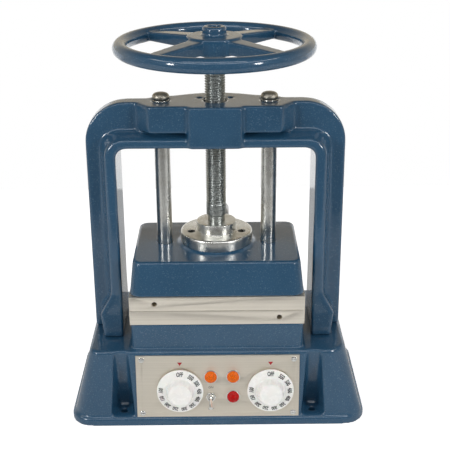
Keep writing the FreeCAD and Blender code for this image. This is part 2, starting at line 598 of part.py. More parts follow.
def upper_housing():
    shell = taper("housing_block", ("pedestal_width / 2", "pedestal_depth / 2", "pedestal_depth / 2"),
                  ("housing_top_width / 2", "housing_top_depth / 2", "housing_top_depth / 2"),
                  "housing_height", "housing_low")
    shell = rounded("housing_corners", shell, size("housing_corner"), upright)
    shell = rounded("housing_soft", shell, size("edge_round"), around_top(shell))
    pad = cone("flange_pad", "flange_radius + pad_lip + pad_flare", "flange_radius + pad_lip", "pad_height",
               z="housing_top")
    shell = fuse("housing_shell", [shell, pad])
    pan = block("housing_pan", "pedestal_width - 2 * pan_rim", "pedestal_depth - 2 * pan_rim",
                "insulation_thick + 1", z="housing_low - 1")
    board_top = "housing_low + insulation_thick"
    attic = block("housing_inside", "housing_top_width - 4 * housing_wall",
                  "housing_top_depth - 4 * housing_wall",
                  "housing_height - insulation_thick - deck_thick - housing_wall",
                  z=f"{board_top} + deck_thick")
    sockets = [pin(f"rod_socket_{side_name(side)}", "rod_socket_radius", "housing_height - insulation_thick",
                   f"{side} * rod_side", z=board_top) for side in (-1, 1)]
    sockets.append(pin("thrust_post", "flange_radius", "housing_height - insulation_thick", z=board_top))
    sockets.append(block("lead_post", "lead_post", "lead_post", "housing_height - insulation_thick",
                         "lead_side", "lead_depth", board_top))
    tools = [pan, cut("housing_room", attic, sockets)]
    tools += [pin(f"rod_hole_{side_name(side)}", "rod_radius", "rod_socket_deep + 5", f"{side} * rod_side",
                  z="housing_top - rod_socket_deep") for side in (-1, 1)]
    tools += platen_bolt_holes("housing", f"{board_top} - 1", "deck_thick + 2")
    tools += platen_bolt_holes("bolt_room", f"{board_top} + deck_thick", "bolt_head_tall + 2",
                               "bolt_head + 1")
    tools += flange_holes("housing", "flange_bolt", "flange_top - flange_sink - flange_bolt_long - 1",
                          "flange_bolt_long + 1")
    tools.append(pin("lead_hole", "gland_bore", "housing_height", "lead_side", "lead_depth",
                     f"{board_top} - 1"))
    piece("upper_housing", cut("upper_housing", shell, tools))


def flange_holes(name, radius, low, long):
    """The two screw places of the thrust flange, a little in front of the screw's axis."""
    return [pin(f"{name}_flange_hole_{side_name(side)}", radius, long,
                f"{side} * flange_bolt_circle * cos(flange_bolt_angle)",
                "-flange_bolt_circle * sin(flange_bolt_angle)", low) for side in (-1, 1)]


def thrust_flange():
    body = turned("flange_turned", [
        ("neck_radius + bore_gap", "collar_top"), ("collar_radius - 1", "collar_top"),
        ("collar_radius", "collar_top - 1"), ("collar_radius", "flange_top"),
        ("flange_radius - flange_chamfer", "flange_top"), ("flange_radius", "flange_top - flange_chamfer"),
        ("flange_radius", "pad_top"), ("foot_radius + 1", "pad_top"),
        ("foot_radius + 1", "foot_top + running_gap"), ("neck_radius + bore_gap", "foot_top + running_gap")])
    tools = flange_holes("through", "flange_bolt + 0.2", "pad_top - 1", "flange_thick + 2")
    tools += flange_holes("sunk", "flange_bolt_head + 0.3", "flange_top - flange_sink", "flange_sink + 1")
    piece("thrust_flange", cut("thrust_flange", body, tools))
    shanks = flange_holes("screw_shank", "flange_bolt", "flange_top - flange_sink - flange_bolt_long",
                          "flange_bolt_long")
    heads = flange_holes("screw_head", "flange_bolt_head", "flange_top - flange_sink", "flange_sink / 2")
    sockets = flange_holes("screw_socket", "flange_bolt - 0.5", "flange_top - flange_sink / 2 - 3", "4")
    piece("flange_screws", group("flange_screws", [
        cut(f"flange_screw_{i}", fuse(f"flange_screw_blank_{i}", [shanks[i], heads[i]]), [sockets[i]])
        for i in range(len(shanks))]))
    piece("thrust_washer", pin("thrust_washer", "foot_radius", "washer_thick", z="pad_top"))


# Guide rods

def guide_rods():
    for side in (-1, 1):
        name, where = side_name(side), f"{side} * rod_side"
        low, high = "(housing_top - rod_socket_deep)", "(arch_top + seat_gap)"
        rod = pin(f"guide_rod_bar_{name}", "rod_radius", f"{high} - {low}", where, z=low)
        hole = pin(f"guide_rod_tap_{name}", "cap_spigot + bore_gap", "cap_spigot_long + 2", where,
                   z=f"{high} - cap_spigot_long - 1")
        piece(f"guide_rod_{name}", cut(f"guide_rod_{name}", rod, [hole]))
        cap = turned(f"rod_cap_{name}", [
            ("0", f"{high} - cap_spigot_long"), ("cap_spigot", f"{high} - cap_spigot_long"),
            ("cap_spigot", high), ("cap_radius * 0.88", high), ("cap_radius", f"{high} + cap_height * 0.32"),
            ("cap_radius * 0.97", f"{high} + cap_height * 0.55"),
            ("cap_radius * 0.8", f"{high} + cap_height * 0.8"),
            ("cap_radius * 0.52", f"{high} + cap_height * 0.95"), ("0", f"{high} + cap_height")])
        piece(f"rod_cap_{name}", put(cap, where))


# Lifting screw, turned from one bar

def screw_spindle():
    low, neck_top, journal_low = value("foot_low"), value("neck_top"), value("hub_low - journal_drop")
    crest, neck, journal = size("screw_radius"), size("neck_radius"), size("journal_radius")
    corner_points = [(0, low), (size("foot_radius"), low), (size("foot_radius"), low + size("foot_thick")),
                     (neck, low + size("foot_thick")), (neck, neck_top - size("neck_chamfer")),
                     (crest, neck_top)]
    groove = crest - size("groove_deep")
    for level in (neck_top + size("plain_length") / 2, neck_top + size("plain_length") - 1):
        corner_points += [(crest, level), (groove, level + 0.3), (groove, level + 0.7), (crest, level + 1)]
    level = neck_top + size("plain_length") + 0.5
    pitch = size("screw_pitch")
    root = crest - size("thread_deep")
    while level + pitch < journal_low - 2:
        corner_points += [(crest, level), (root, level + 0.45 * pitch), (root, level + 0.55 * pitch)]
        level += pitch
    corner_points += [(crest, level), (crest, journal_low - 1), (journal, journal_low - 1),
                      (journal, value("screw_top")), (0, value("screw_top"))]
    points = [vector(radius, 0, height) for radius, height in corner_points]
    turned_bar = doc.addObject("Part::Feature", "spindle_turned")
    half_section = Part.Face(Part.makePolygon(points + points[:1]))
    turned_bar.Shape = half_section.revolve(vector(), vector(0, 0, 1), 360)
    tools = [block("spindle_keyway", "key_side", "key_side", "key_tall", y="-journal_radius", z="key_low"),
             pin("spindle_tap", "hub_screw_radius", "hub_screw_long + 4", z="screw_top - hub_screw_long - 2")]
    piece("screw_spindle", cut("screw_spindle", turned_bar, tools))


# Handwheel with its key and its retaining screw

def body_plane(body, role):
    return next(plane for plane in body.Origin.OriginFeatures if plane.Role == role)


def sketch_in(body, name, role):
    sketch = body.newObject("Sketcher::SketchObject", name)
    sketch.AttachmentSupport = (body_plane(body, role), [""])
    sketch.MapMode = "FlatFace"
    return sketch


def spoke_section(body, name, radius, width, top, deep):
    """Upright rectangle across the spoke that points to the front, turned with the wheel."""
    section = sketch_in(body, name, "XZ_Plane")
    turn = FreeCAD.Rotation(vector(0, 1, 0), size("wheel_turn"))
    section.AttachmentOffset = FreeCAD.Placement(vector(), turn)
    offsets = {"Base.x": f"({radius}) * sin(wheel_turn)", "Base.z": f"({radius}) * cos(wheel_turn)",
               "Rotation.Angle": "wheel_turn"}
    for axis, text in offsets.items():
        section.setExpression("AttachmentOffset." + axis, in_cells(text))
    low = f"{top} - {deep}"
    draw(section, [(f"-{width} / 2", top), (f"-{width} / 2", low), (f"{width} / 2", low),
                   (f"{width} / 2", top)])
    return section


def handwheel():
    wheel = doc.addObject("PartDesign::Body", "handwheel")
    hub = sketch_in(wheel, "hub_profile", "XZ_Plane")
    draw(hub, [("journal_radius", "hub_low"), ("hub_root_radius", "hub_low"),
               ("hub_root_radius", "disc_top - disc_thick"), ("disc_radius", "disc_top - disc_thick"),
               ("disc_radius", "disc_top"), ("hub_radius", "disc_top"),
               ("hub_radius", "hub_top - hub_chamfer"),
               ("hub_radius - hub_chamfer", "hub_top"), ("hub_screw_head + hub_screw_gap", "hub_top"),
               ("hub_screw_head + hub_screw_gap", "screw_top"), ("journal_radius", "screw_top")])
    turned_hub = wheel.newObject("PartDesign::Revolution", "hub")
    turned_hub.Profile = hub
    turned_hub.ReferenceAxis = (hub, ["V_Axis"])
    rim = sketch_in(wheel, "rim_section", "XZ_Plane")
    middle, level = value("wheel_radius - rim_radius"), value("rim_level")
    rim.addGeometry(Part.Circle(vector(middle, level, 0), vector(0, 0, 1), size("rim_radius")))
    for kind, text in (("DistanceX", "wheel_radius - rim_radius"), ("DistanceY", "rim_level")):
        held = rim.addConstraint(Sketcher.Constraint(kind, -1, 1, 0, 3, value(text)))
        rim.setExpression("Constraints[%d]" % held, in_cells(text))
    held = rim.addConstraint(Sketcher.Constraint("Radius", 0, size("rim_radius")))
    rim.setExpression("Constraints[%d]" % held, in_cells("rim_radius"))
    turned_rim = wheel.newObject("PartDesign::Revolution", "rim")
    turned_rim.Profile = rim
    turned_rim.ReferenceAxis = (rim, ["V_Axis"])
    doc.recompute()
    spoke = wheel.newObject("PartDesign::AdditiveLoft", "spoke")
    spoke.Profile = spoke_section(wheel, "spoke_root", "journal_radius + key_side / 2", "spoke_root_width",
                                  "disc_top - spoke_root_drop", "spoke_root_deep")
    spoke.Sections = [spoke_section(wheel, "spoke_tip", "wheel_radius - rim_radius", "spoke_tip_width",
                                    "rim_level + spoke_tip_rise", "spoke_tip_deep")]
    spoke.Ruled = True
    doc.recompute()
    around = wheel.newObject("PartDesign::PolarPattern", "spokes")
    around.Originals = [spoke]
    around.Axis = (body_plane(wheel, "Z_Axis"), [""])
    around.Angle = 360
    around.setExpression("Occurrences", in_cells("spoke_count"))
    wheel.Tip = around
    doc.recompute()
    bore = sketch_in(wheel, "bore_section", "XY_Plane")
    bore.addGeometry(Part.Circle(vector(), vector(0, 0, 1), size("journal_radius")))
    bore.addConstraint(Sketcher.Constraint("Coincident", 0, 3, -1, 1))
    held = bore.addConstraint(Sketcher.Constraint("Radius", 0, size("journal_radius")))
    bore.setExpression("Constraints[%d]" % held, in_cells("journal_radius"))
    keyway = sketch_in(wheel, "keyway_section", "XY_Plane")
    draw(keyway, [("-key_side / 2", "-(journal_radius + key_side / 2)"),
                  ("key_side / 2", "-(journal_radius + key_side / 2)"),
                  ("key_side / 2", "0"), ("-key_side / 2", "0")])
    for name, section in (("bore", bore), ("keyway", keyway)):
        slot = wheel.newObject("PartDesign::Pocket", name)
        slot.Profile = section
        slot.Reversed = True
        slot.setExpression("Length", in_cells("screw_top"))
        wheel.Tip = slot
        doc.recompute()
    return wheel


def wheel_parts():
    wheel = handwheel()
    piece("handwheel", wheel)
    piece("wheel_key", block("wheel_key", "key_side", "key_side", "key_tall", y="-journal_radius",
                             z="key_low"))
    head = pin("hub_screw_top", "hub_screw_head", "hub_sink - 1", z="screw_top")
    shank = pin("hub_screw_shank", "hub_screw_radius", "hub_screw_long", z="screw_top - hub_screw_long")
    socket = doc.addObject("Part::Prism", "hub_screw_socket")
    bind(socket, Circumradius="hub_screw_radius - 0.6", Height="hub_sink - 1")
    put(socket, z="screw_top + 1")
    piece("hub_screw", cut("hub_screw", fuse("hub_screw_blank", [head, shank]), [socket]))


# Control panel; its pieces are placed by (across, up, out) from the middle of its lower edge

def on_panel(across, up, out):
    sine, cosine = math.sin(math.radians(panel_tilt)), math.cos(math.radians(panel_tilt))
    return (across, f"-slope_front + ({up} + panel_up) * {sine} - ({out}) * {cosine}",
            f"lip_height + ({up} + panel_up) * {cosine} + ({out}) * {sine}")


def panel_turn():
    return ((1, 0, 0), 90 - panel_tilt)


def panel_pin(name, radius, long, across, up, out):
    return pin(name, radius, long, *on_panel(across, up, out), panel_turn())


def panel_block(name, wide, tall, thick, across, up, out):
    """Box whose middle is at (across, up) and whose back is at out."""
    box = bind(doc.addObject("Part::Box", name), Length=wide, Width=tall, Height=thick)
    return put(box, *on_panel(f"{across} - ({wide}) / 2", f"{up} - ({tall}) / 2", out), panel_turn())


panel_spots = {
    "thermostat_left": ("dial_left", "dial_up", "shaft_radius + shaft_neck"),
    "thermostat_right": ("dial_right", "dial_up", "shaft_radius + shaft_neck"),
    "lamp_left": ("lamp_left", "lamp_up", "lamp_barrel"),
    "lamp_right": ("lamp_right", "lamp_up", "lamp_barrel"),
    "lamp_lower": ("lamp_right", "lower_row_up", "lamp_barrel"),
    "switch": ("lamp_left", "lower_row_up", "switch_bush"),
}


def control_panel():
    plate = panel_block("panel_plate", "panel_width", "panel_height", "panel_thick", "0",
                        "panel_height / 2", "0")
    tools = [panel_pin(f"{name}_hole", radius, "panel_thick + 2", across, up, "-1")
             for name, (across, up, radius) in panel_spots.items()]
    tools += panel_screw_pins("panel_screw_hole", "panel_screw + 0.2", "panel_thick + 2", "-1")
    piece("control_panel", cut("control_panel", plate, tools))
    shanks = panel_screw_pins("panel_screw_shank", "panel_screw", "panel_thick", "0")
    heads = panel_screw_pins("panel_screw_top", "panel_screw_head", "panel_screw_tall", "panel_thick")
    slots = panel_screw_pins("panel_screw_slot", "panel_screw_drive", "panel_screw_tall",
                             "panel_thick + panel_screw_tall / 2")
    piece("panel_screws", group("panel_screws", [
        cut(f"panel_screw_{i}", fuse(f"panel_screw_blank_{i}", [shanks[i], heads[i]]), [slots[i]])
        for i in range(4)]))


def panel_screw_pins(name, radius, long, out):
    return [panel_pin(f"{name}_{i}", radius, long, f"{side} * panel_screw_side", up, out)
            for i, (side, up) in enumerate(((-1, "panel_screw_edge"), (1, "panel_screw_edge"),
                                            (-1, "panel_height - panel_screw_edge"),
                                            (1, "panel_height - panel_screw_edge")))]


def thermostats():
    for name in ("left", "right"):
        across, up = f"dial_{name}", "dial_up"
        case = panel_block(f"thermostat_case_{name}", "thermostat_wide", "thermostat_tall", "thermostat_deep",
                           across, up, "-thermostat_deep")
        neck = panel_pin(f"thermostat_neck_{name}", "shaft_radius + shaft_neck", "panel_thick + 1",
                         across, up, "0")
        shaft = panel_pin(f"thermostat_shaft_{name}", "shaft_radius", "dial_gap + panel_thick + grip_height",
                          across, up, "0")
        piece(f"thermostat_{name}", fuse(f"thermostat_{name}", [case, neck, shaft]))


def dials():
    """Round dial: a sloping skirt for the numbers and a raised grip, bored for the thermostat's shaft."""
    for name in ("left", "right"):
        across, up = f"dial_{name}", "dial_up"
        floor = "panel_thick + dial_gap"
        edge = panel_pin(f"dial_edge_{name}", "dial_radius", "skirt_thick", across, up, floor)
        skirt = cone(f"dial_skirt_{name}", "dial_radius", "grip_radius + 1", "skirt_rise",
                     *on_panel(across, up, f"{floor} + skirt_thick"), panel_turn())
        grip = cone(f"dial_grip_{name}", "grip_radius", "grip_front", "grip_height",
                    *on_panel(across, up, f"{floor} + skirt_thick + 1"), panel_turn())
        bore = panel_pin(f"dial_bore_{name}", "shaft_radius + bore_gap", "grip_height + 1", across, up,
                         f"{floor} - 1")
        piece(f"dial_{name}", cut(f"dial_{name}", fuse(f"dial_solid_{name}", [edge, skirt, grip]), [bore]))


def pilot_lamps():
    bezels, barrels = [], []
    for name in ("lamp_left", "lamp_right", "lamp_lower"):
        across, up, radius = panel_spots[name]
        ring = panel_pin(f"{name}_ring", "bezel_radius", "bezel_thick", across, up, "panel_thick")
        hole = panel_pin(f"{name}_ring_hole", "lamp_barrel", "bezel_thick + 2", across, up, "panel_thick - 1")
        bezels.append(cut(f"{name}_bezel", ring, [hole]))
        barrels.append(panel_pin(f"{name}_barrel", "lamp_barrel", "lamp_deep + panel_thick + bezel_thick",
                                 across, up, "-lamp_deep"))
        seat = "panel_thick + bezel_thick"
        drum = panel_pin(f"{name}_drum", "lamp_radius", "lamp_rise", across, up, seat)
        ball = bind(doc.addObject("Part::Sphere", f"{name}_ball"), Radius="lamp_radius * 1.15")
        put(ball, *on_panel(across, up, f"{seat} + lamp_rise - lamp_radius * 1.15"))
        piece(f"pilot_{name}", common(f"pilot_{name}", [drum, ball]))
    piece("lamp_bezels", group("lamp_bezels", bezels))
    piece("lamp_holders", group("lamp_holders", barrels))


def toggle_switch():
    across, up, radius = panel_spots["switch"]
    case = panel_block("switch_case", "switch_wide", "switch_tall", "switch_deep", across, up, "-switch_deep")
    bush = panel_pin("switch_bushing", "switch_bush", "panel_thick + switch_bush_out", across, up, "0")
    room = panel_pin("switch_room", "switch_bush - switch_bush_wall", "switch_bush_out + 2", across, up,
                     "panel_thick - 1")
    piece("toggle_switch", cut("toggle_switch", fuse("switch_solid", [case, bush]), [room]))
    nut = doc.addObject("Part::Prism", "switch_nut_blank")
    bind(nut, Circumradius="switch_nut_radius", Height="switch_nut_thick")
    put(nut, *on_panel(across, up, "panel_thick"), panel_turn())
    hole = panel_pin("switch_nut_hole", "switch_bush", "switch_nut_thick + 2", across, up, "panel_thick - 1")
    piece("switch_nut", cut("switch_nut", nut, [hole]))
    pivot = on_panel(across, up, "panel_thick + switch_bush_out - lever_sink")
    turn = ((1, 0, 0), 90 - panel_tilt + size("lever_tilt"))
    lever = cone("lever_arm", "lever_radius", "lever_tip", "lever_length", *pivot, turn)
    ball = bind(doc.addObject("Part::Sphere", "lever_ball"), Radius="switch_bush - switch_bush_wall - 0.1")
    put(ball, *pivot)
    piece("toggle_lever", fuse("toggle_lever", [lever, ball]))


# Power inlets and the terminal block inside the base

def power_inlets():
    face = "(slope_rear + (gland_level - lip_height) * (deck_rear - slope_rear) / (base_height - lip_height))"
    rear_turn = ((1, 0, 0), -90)
    where = ("gland_side", f"{face} - wall - 2", "gland_level")
    body = pin("power_gland_body", "gland_radius", "wall + 4 + gland_out", *where, rear_turn)
    nut = doc.addObject("Part::Prism", "power_gland_nut")
    bind(nut, Circumradius="gland_nut", Height="gland_nut_thick")
    put(nut, "gland_side", f"{face} + 1.5", "gland_level", rear_turn)
    bore = pin("power_gland_bore", "gland_bore", "gland_out + 2 * wall + 8", "gland_side",
               f"{face} - wall - 4", "gland_level", rear_turn)
    piece("power_gland", cut("power_gland", fuse("power_gland_solid", [body, nut]), [bore]))
    piece("lead_gland", cut("lead_gland", elbow("lead_gland_outside", "lead_radius", "lead_nut", 0),
                            [elbow("lead_gland_inside", "gland_bore", "gland_bore", 1)]))
    strip = block("terminal_strip", "terminal_long", "terminal_wide", "terminal_tall", y="deck_rear / 2",
                  z="cover_inset + cover_thick")
    holes = [pin(f"terminal_{i}", "terminal_screw", "terminal_tall / 2",
                 f"terminal_step * ({i} - (terminal_count - 1) / 2)", "deck_rear / 2",
                 "cover_inset + cover_thick + terminal_tall * 0.6")
             for i in range(int(size("terminal_count")))]
    piece("terminal_block", cut("terminal_block", strip, holes))


def elbow(name, radius, nut_radius, over):
    """Bend that rises from the housing and turns to the rear; over lengthens both ends."""
    where = ("lead_side", "lead_depth")
    rise = pin(name + "_rise", radius, f"lead_rise + {over}", *where, f"housing_top - {over}")
    bend = bind(doc.addObject("Part::Sphere", name + "_bend"), Radius=radius)
    put(bend, *where, "housing_top + lead_rise")
    run = pin(name + "_run", radius, f"lead_out + {over}", *where, "housing_top + lead_rise",
              ((1, 0, 0), -90))
    nut = doc.addObject("Part::Prism", name + "_nut")
    bind(nut, Circumradius=nut_radius, Height="gland_nut_thick")
    put(nut, *where, "housing_top")
    return fuse(name, [rise, bend, run, nut])


base_casting()
base_cover()
arch_frame()
arch_bolts()
screw_nut()
guide_bushes()
lower_stack()
upper_stack()
upper_housing()
thrust_flange()
guide_rods()
screw_spindle()
wheel_parts()
control_panel()
thermostats()
dials()
pilot_lamps()
toggle_switch()
power_inlets()
doc.recompute()

faults = [thing.Name for thing in doc.Objects if "Invalid" in thing.State or "Error" in thing.State]
for label, thing in pieces.items():
    if thing.Shape.isNull() or not thing.Shape.isValid() or thing.Shape.Volume <= 0:
        faults.append(label + " has no valid shape")
if faults:
    raise RuntimeError("failed objects: " + ", ".join(faults))
for label, thing in pieces.items():
    thing.Shape.exportStep("parts/" + label + ".step")
    print("%-22s %2d solids %10.0f mm3" % (label, len(thing.Shape.Solids), thing.Shape.Volume))
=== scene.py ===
import json
import math

import bmesh
import bpy
from mathutils import Matrix, Vector

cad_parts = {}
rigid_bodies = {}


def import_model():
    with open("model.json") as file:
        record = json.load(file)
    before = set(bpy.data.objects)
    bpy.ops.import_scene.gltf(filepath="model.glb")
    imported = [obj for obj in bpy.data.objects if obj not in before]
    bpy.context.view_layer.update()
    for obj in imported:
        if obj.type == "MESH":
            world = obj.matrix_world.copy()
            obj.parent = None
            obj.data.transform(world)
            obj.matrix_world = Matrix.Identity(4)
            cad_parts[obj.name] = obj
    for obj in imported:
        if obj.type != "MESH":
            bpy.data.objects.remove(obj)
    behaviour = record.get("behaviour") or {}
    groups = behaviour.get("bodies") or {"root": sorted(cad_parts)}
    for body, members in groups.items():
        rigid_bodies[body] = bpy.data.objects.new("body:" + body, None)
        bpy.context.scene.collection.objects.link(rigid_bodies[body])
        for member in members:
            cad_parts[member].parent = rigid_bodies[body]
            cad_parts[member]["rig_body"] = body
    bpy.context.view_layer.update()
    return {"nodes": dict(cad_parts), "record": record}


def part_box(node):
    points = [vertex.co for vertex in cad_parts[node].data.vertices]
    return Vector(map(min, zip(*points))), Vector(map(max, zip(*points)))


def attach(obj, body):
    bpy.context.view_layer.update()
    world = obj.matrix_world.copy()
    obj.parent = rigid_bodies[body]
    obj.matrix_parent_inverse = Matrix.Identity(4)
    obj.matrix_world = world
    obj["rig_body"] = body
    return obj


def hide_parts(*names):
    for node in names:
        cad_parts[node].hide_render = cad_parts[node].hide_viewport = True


# Looks of a bench vulcanizer for rubber molds.
# Positions and lengths are in metres, in the part's own frame: +Z is up and the front faces -Y.

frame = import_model()
scene = bpy.context.scene
slotOf = {entry["node"]: entry["material_slot"] for entry in frame["record"]["subparts"]}
bodyOf = {name: node["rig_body"] for name, node in frame["nodes"].items()}
taken = set()
materials = {}


# Node trees

# Add a shader or geometry node; an input given as a socket is linked, any other value is set
def addNode(tree, kind, settings=None, **inputs):
    node = tree.nodes.new(kind)
    for name, value in (settings or {}).items():
        setattr(node, name, value)
    for name, value in inputs.items():
        key = int(name[1:]) if name[0] == "n" and name[1:].isdigit() else name.replace("_", " ")
        connect(tree, value, node.inputs[key])
    return node


def connect(tree, value, socket):
    if isinstance(value, bpy.types.NodeSocket):
        tree.links.new(value, socket)
    else:
        socket.default_value = value


def math2(tree, operation, first, second=0.0, third=0.0):
    node = addNode(tree, "ShaderNodeMath", {"operation": operation}, n0=first, n1=second, n2=third)
    return node.outputs[0]


def startMaterial(name):
    material = bpy.data.materials.new(name)
    material.use_nodes = True
    tree = material.node_tree
    tree.nodes.clear()
    shader = addNode(tree, "ShaderNodeBsdfPrincipled")
    out = addNode(tree, "ShaderNodeOutputMaterial")
    tree.links.new(shader.outputs[0], out.inputs["Surface"])
    place = addNode(tree, "ShaderNodeTexCoord").outputs["Object"]
    return material, tree, shader, place


def noise(tree, place, scale, detail=2.0, roughness=0.5, stretch=None):
    if stretch:
        place = addNode(tree, "ShaderNodeMapping", Vector=place, Scale=stretch).outputs[0]
    texture = addNode(tree, "ShaderNodeTexNoise", Vector=place, Scale=scale, Detail=detail,
                      Roughness=roughness)
    return texture.outputs["Fac"]


# Spread a texture's value over a range
def between(tree, fac, low, high, fromLow=0.3, fromHigh=0.7):
    return addNode(tree, "ShaderNodeMapRange", n0=fac, n1=fromLow, n2=fromHigh, n3=low, n4=high).outputs[0]


def twoColours(tree, fac, first, second):
    mix = addNode(tree, "ShaderNodeMix", {"data_type": "RGBA"}, n0=fac)
    mix.inputs[6].default_value = (*first, 1)
    mix.inputs[7].default_value = (*second, 1)
    return mix.outputs[2]


# Lay one even colour over a socket's colour
def overPaint(tree, share, below, colour):
    mix = addNode(tree, "ShaderNodeMix", {"data_type": "RGBA"}, n0=share, n6=below)
    mix.inputs[7].default_value = (*colour, 1)
    return mix.outputs[2]


def bump(tree, height, distance, strength=1.0, below=None):
    node = addNode(tree, "ShaderNodeBump", Height=height, Distance=distance, Strength=strength)
    if below is not None:
        tree.links.new(below, node.inputs["Normal"])
    return node.outputs[0]


# Materials

enamelLook = {
    "colour": (0.014, 0.064, 0.128), "second": (0.019, 0.076, 0.148), "toneScale": 18,
    "speck": (0.085, 0.165, 0.235), "speckScale": 780, "speckShare": 0.8, "speckFrom": 0.60,
    "speckTo": 0.78, "roughness": 0.42, "specular": 0.15, "coatRoughness": 0.08, "coatIor": 1.55,
    "peelScale": 420, "peelHeight": 0.00006, "waveScale": 60, "waveHeight": 0.0002}


# Gloss enamel flowed over a casting: fine light specks under a clear coat with orange peel
def enamel():
    look = enamelLook
    material, tree, shader, place = startMaterial("blueEnamel")
    tone = between(tree, noise(tree, place, look["toneScale"], 3), 0, 1)
    speck = noise(tree, place, look["speckScale"], 1, 0.4)
    share = between(tree, speck, 0, look["speckShare"], look["speckFrom"], look["speckTo"])
    paint = twoColours(tree, tone, look["colour"], look["second"])
    connect(tree, overPaint(tree, share, paint, look["speck"]), shader.inputs["Base Color"])
    shader.inputs["Roughness"].default_value = look["roughness"]
    shader.inputs["Specular IOR Level"].default_value = look["specular"]
    shader.inputs["Coat Weight"].default_value = 1.0
    shader.inputs["Coat Roughness"].default_value = look["coatRoughness"]
    shader.inputs["Coat IOR"].default_value = look["coatIor"]
    wave = bump(tree, noise(tree, place, look["waveScale"], 1.5), look["waveHeight"])
    peel = bump(tree, noise(tree, place, look["peelScale"], 1), look["peelHeight"], 1.0, wave)
    connect(tree, peel, shader.inputs["Normal"])
    connect(tree, peel, shader.inputs["Coat Normal"])
    return material


metalLooks = {
    "dark_steel": {
        "name": "blackSteel", "colour": (0.05, 0.05, 0.052), "second": (0.10, 0.10, 0.10),
        "roughness": (0.3, 0.5), "grain": 260, "grainHeight": 0.00002},
    "zinc_plate": {
        "name": "zincSheet", "colour": (0.50, 0.51, 0.53), "second": (0.62, 0.62, 0.62),
        "roughness": (0.28, 0.45), "grain": 90, "grainHeight": 0.00003},
    "screw_brass": {
        "name": "bronze", "colour": (0.55, 0.36, 0.16), "second": (0.66, 0.46, 0.22),
        "roughness": (0.2, 0.35), "grain": 300, "grainHeight": 0.00001},
    "platen_metal": {
        "name": "milledPlaten", "colour": (0.80, 0.745, 0.65), "second": (0.90, 0.845, 0.75),
        "roughness": (0.36, 0.46), "grain": 700, "grainHeight": 0.000008, "stretch": (0.0004, 1, 1)},
    "heater_sheath": {
        "name": "heaterSheath", "colour": (0.33, 0.32, 0.31), "second": (0.45, 0.44, 0.42),
        "roughness": (0.3, 0.45), "grain": 300, "grainHeight": 0.00002},
    "panel_metal": {
        "name": "brushedPanel", "colour": (0.70, 0.65, 0.56), "second": (0.76, 0.71, 0.62),
        "roughness": (0.40, 0.48), "grain": 900, "grainHeight": 0.000004, "stretch": (0.0004, 1, 1)},
    "bright_screws": {
        "name": "brightPlate", "colour": (0.72, 0.72, 0.71), "second": (0.8, 0.8, 0.78),
        "roughness": (0.08, 0.18), "grain": 400, "grainHeight": 0.00001},
    "polished_steel": {
        "name": "polishedSteel", "colour": (0.64, 0.64, 0.61), "second": (0.74, 0.74, 0.71),
        "roughness": (0.24, 0.33), "grain": 300, "grainHeight": 0.000006,
        "stain": (0.42, 0.39, 0.32), "stainScale": 60, "stainShare": 0.35},
    "turned_steel": {
        "name": "turnedSteel", "colour": (0.31, 0.33, 0.32), "second": (0.38, 0.40, 0.39),
        "roughness": (0.28, 0.36), "grain": 500, "grainHeight": 0.000002,
        "stain": (0.18, 0.17, 0.15), "stainScale": 90, "stainShare": 0.3},
    "capSteel": {
        "name": "capSteel", "colour": (0.34, 0.32, 0.27), "second": (0.44, 0.41, 0.35),
        "roughness": (0.38, 0.5), "grain": 400, "grainHeight": 0.00002},
}
metalWear = {"wearScale": 35, "stainFrom": 0.48, "stainTo": 0.66}


# Bare or plated metal: tool marks, uneven wear and, on some, a stain in patches
def metal(look):
    material, tree, shader, place = startMaterial(look["name"])
    shader.inputs["Metallic"].default_value = 1.0
    marks = noise(tree, place, look["grain"], 3, 0.6, look.get("stretch"))
    colour = twoColours(tree, between(tree, marks, 0, 1), look["colour"], look["second"])
    if "stain" in look:
        cloud = noise(tree, place, look["stainScale"], 4, 0.6)
        patch = between(tree, cloud, 0, look["stainShare"], metalWear["stainFrom"], metalWear["stainTo"])
        colour = overPaint(tree, patch, colour, look["stain"])
    connect(tree, colour, shader.inputs["Base Color"])
    wear = noise(tree, place, metalWear["wearScale"], 3)
    connect(tree, between(tree, wear, *look["roughness"]), shader.inputs["Roughness"])
    connect(tree, bump(tree, marks, look["grainHeight"]), shader.inputs["Normal"])
    return material


plasticLooks = {
    "insulation": {
        "name": "fibreBoard", "colour": (0.52, 0.46, 0.36), "second": (0.60, 0.55, 0.45),
        "roughness": (0.7, 0.9), "grain": 420, "grainHeight": 0.0001},
    "black_plastic": {
        "name": "blackPlastic", "colour": (0.018, 0.018, 0.019), "second": (0.028, 0.028, 0.03),
        "roughness": (0.4, 0.6), "grain": 500, "grainHeight": 0.00004},
    "dial_plastic": {
        "name": "dialPlastic", "colour": (0.90, 0.89, 0.86), "second": (0.93, 0.92, 0.89),
        "roughness": (0.22, 0.32), "grain": 300, "grainHeight": 0.00002, "coat": 0.3, "subsurface": 0.1},
    "ink": {
        "name": "printInk", "colour": (0.03, 0.03, 0.03), "second": (0.05, 0.05, 0.05),
        "roughness": (0.5, 0.6), "grain": 500, "grainHeight": 0.00001},
    "redInk": {
        "name": "redInk", "colour": (0.42, 0.012, 0.02), "second": (0.36, 0.01, 0.016),
        "roughness": (0.4, 0.5), "grain": 500, "grainHeight": 0.00001},
}
plasticSurface = {"toneScale": 60, "wearScale": 150, "coatRoughness": 0.08, "subsurfaceScale": 0.002}


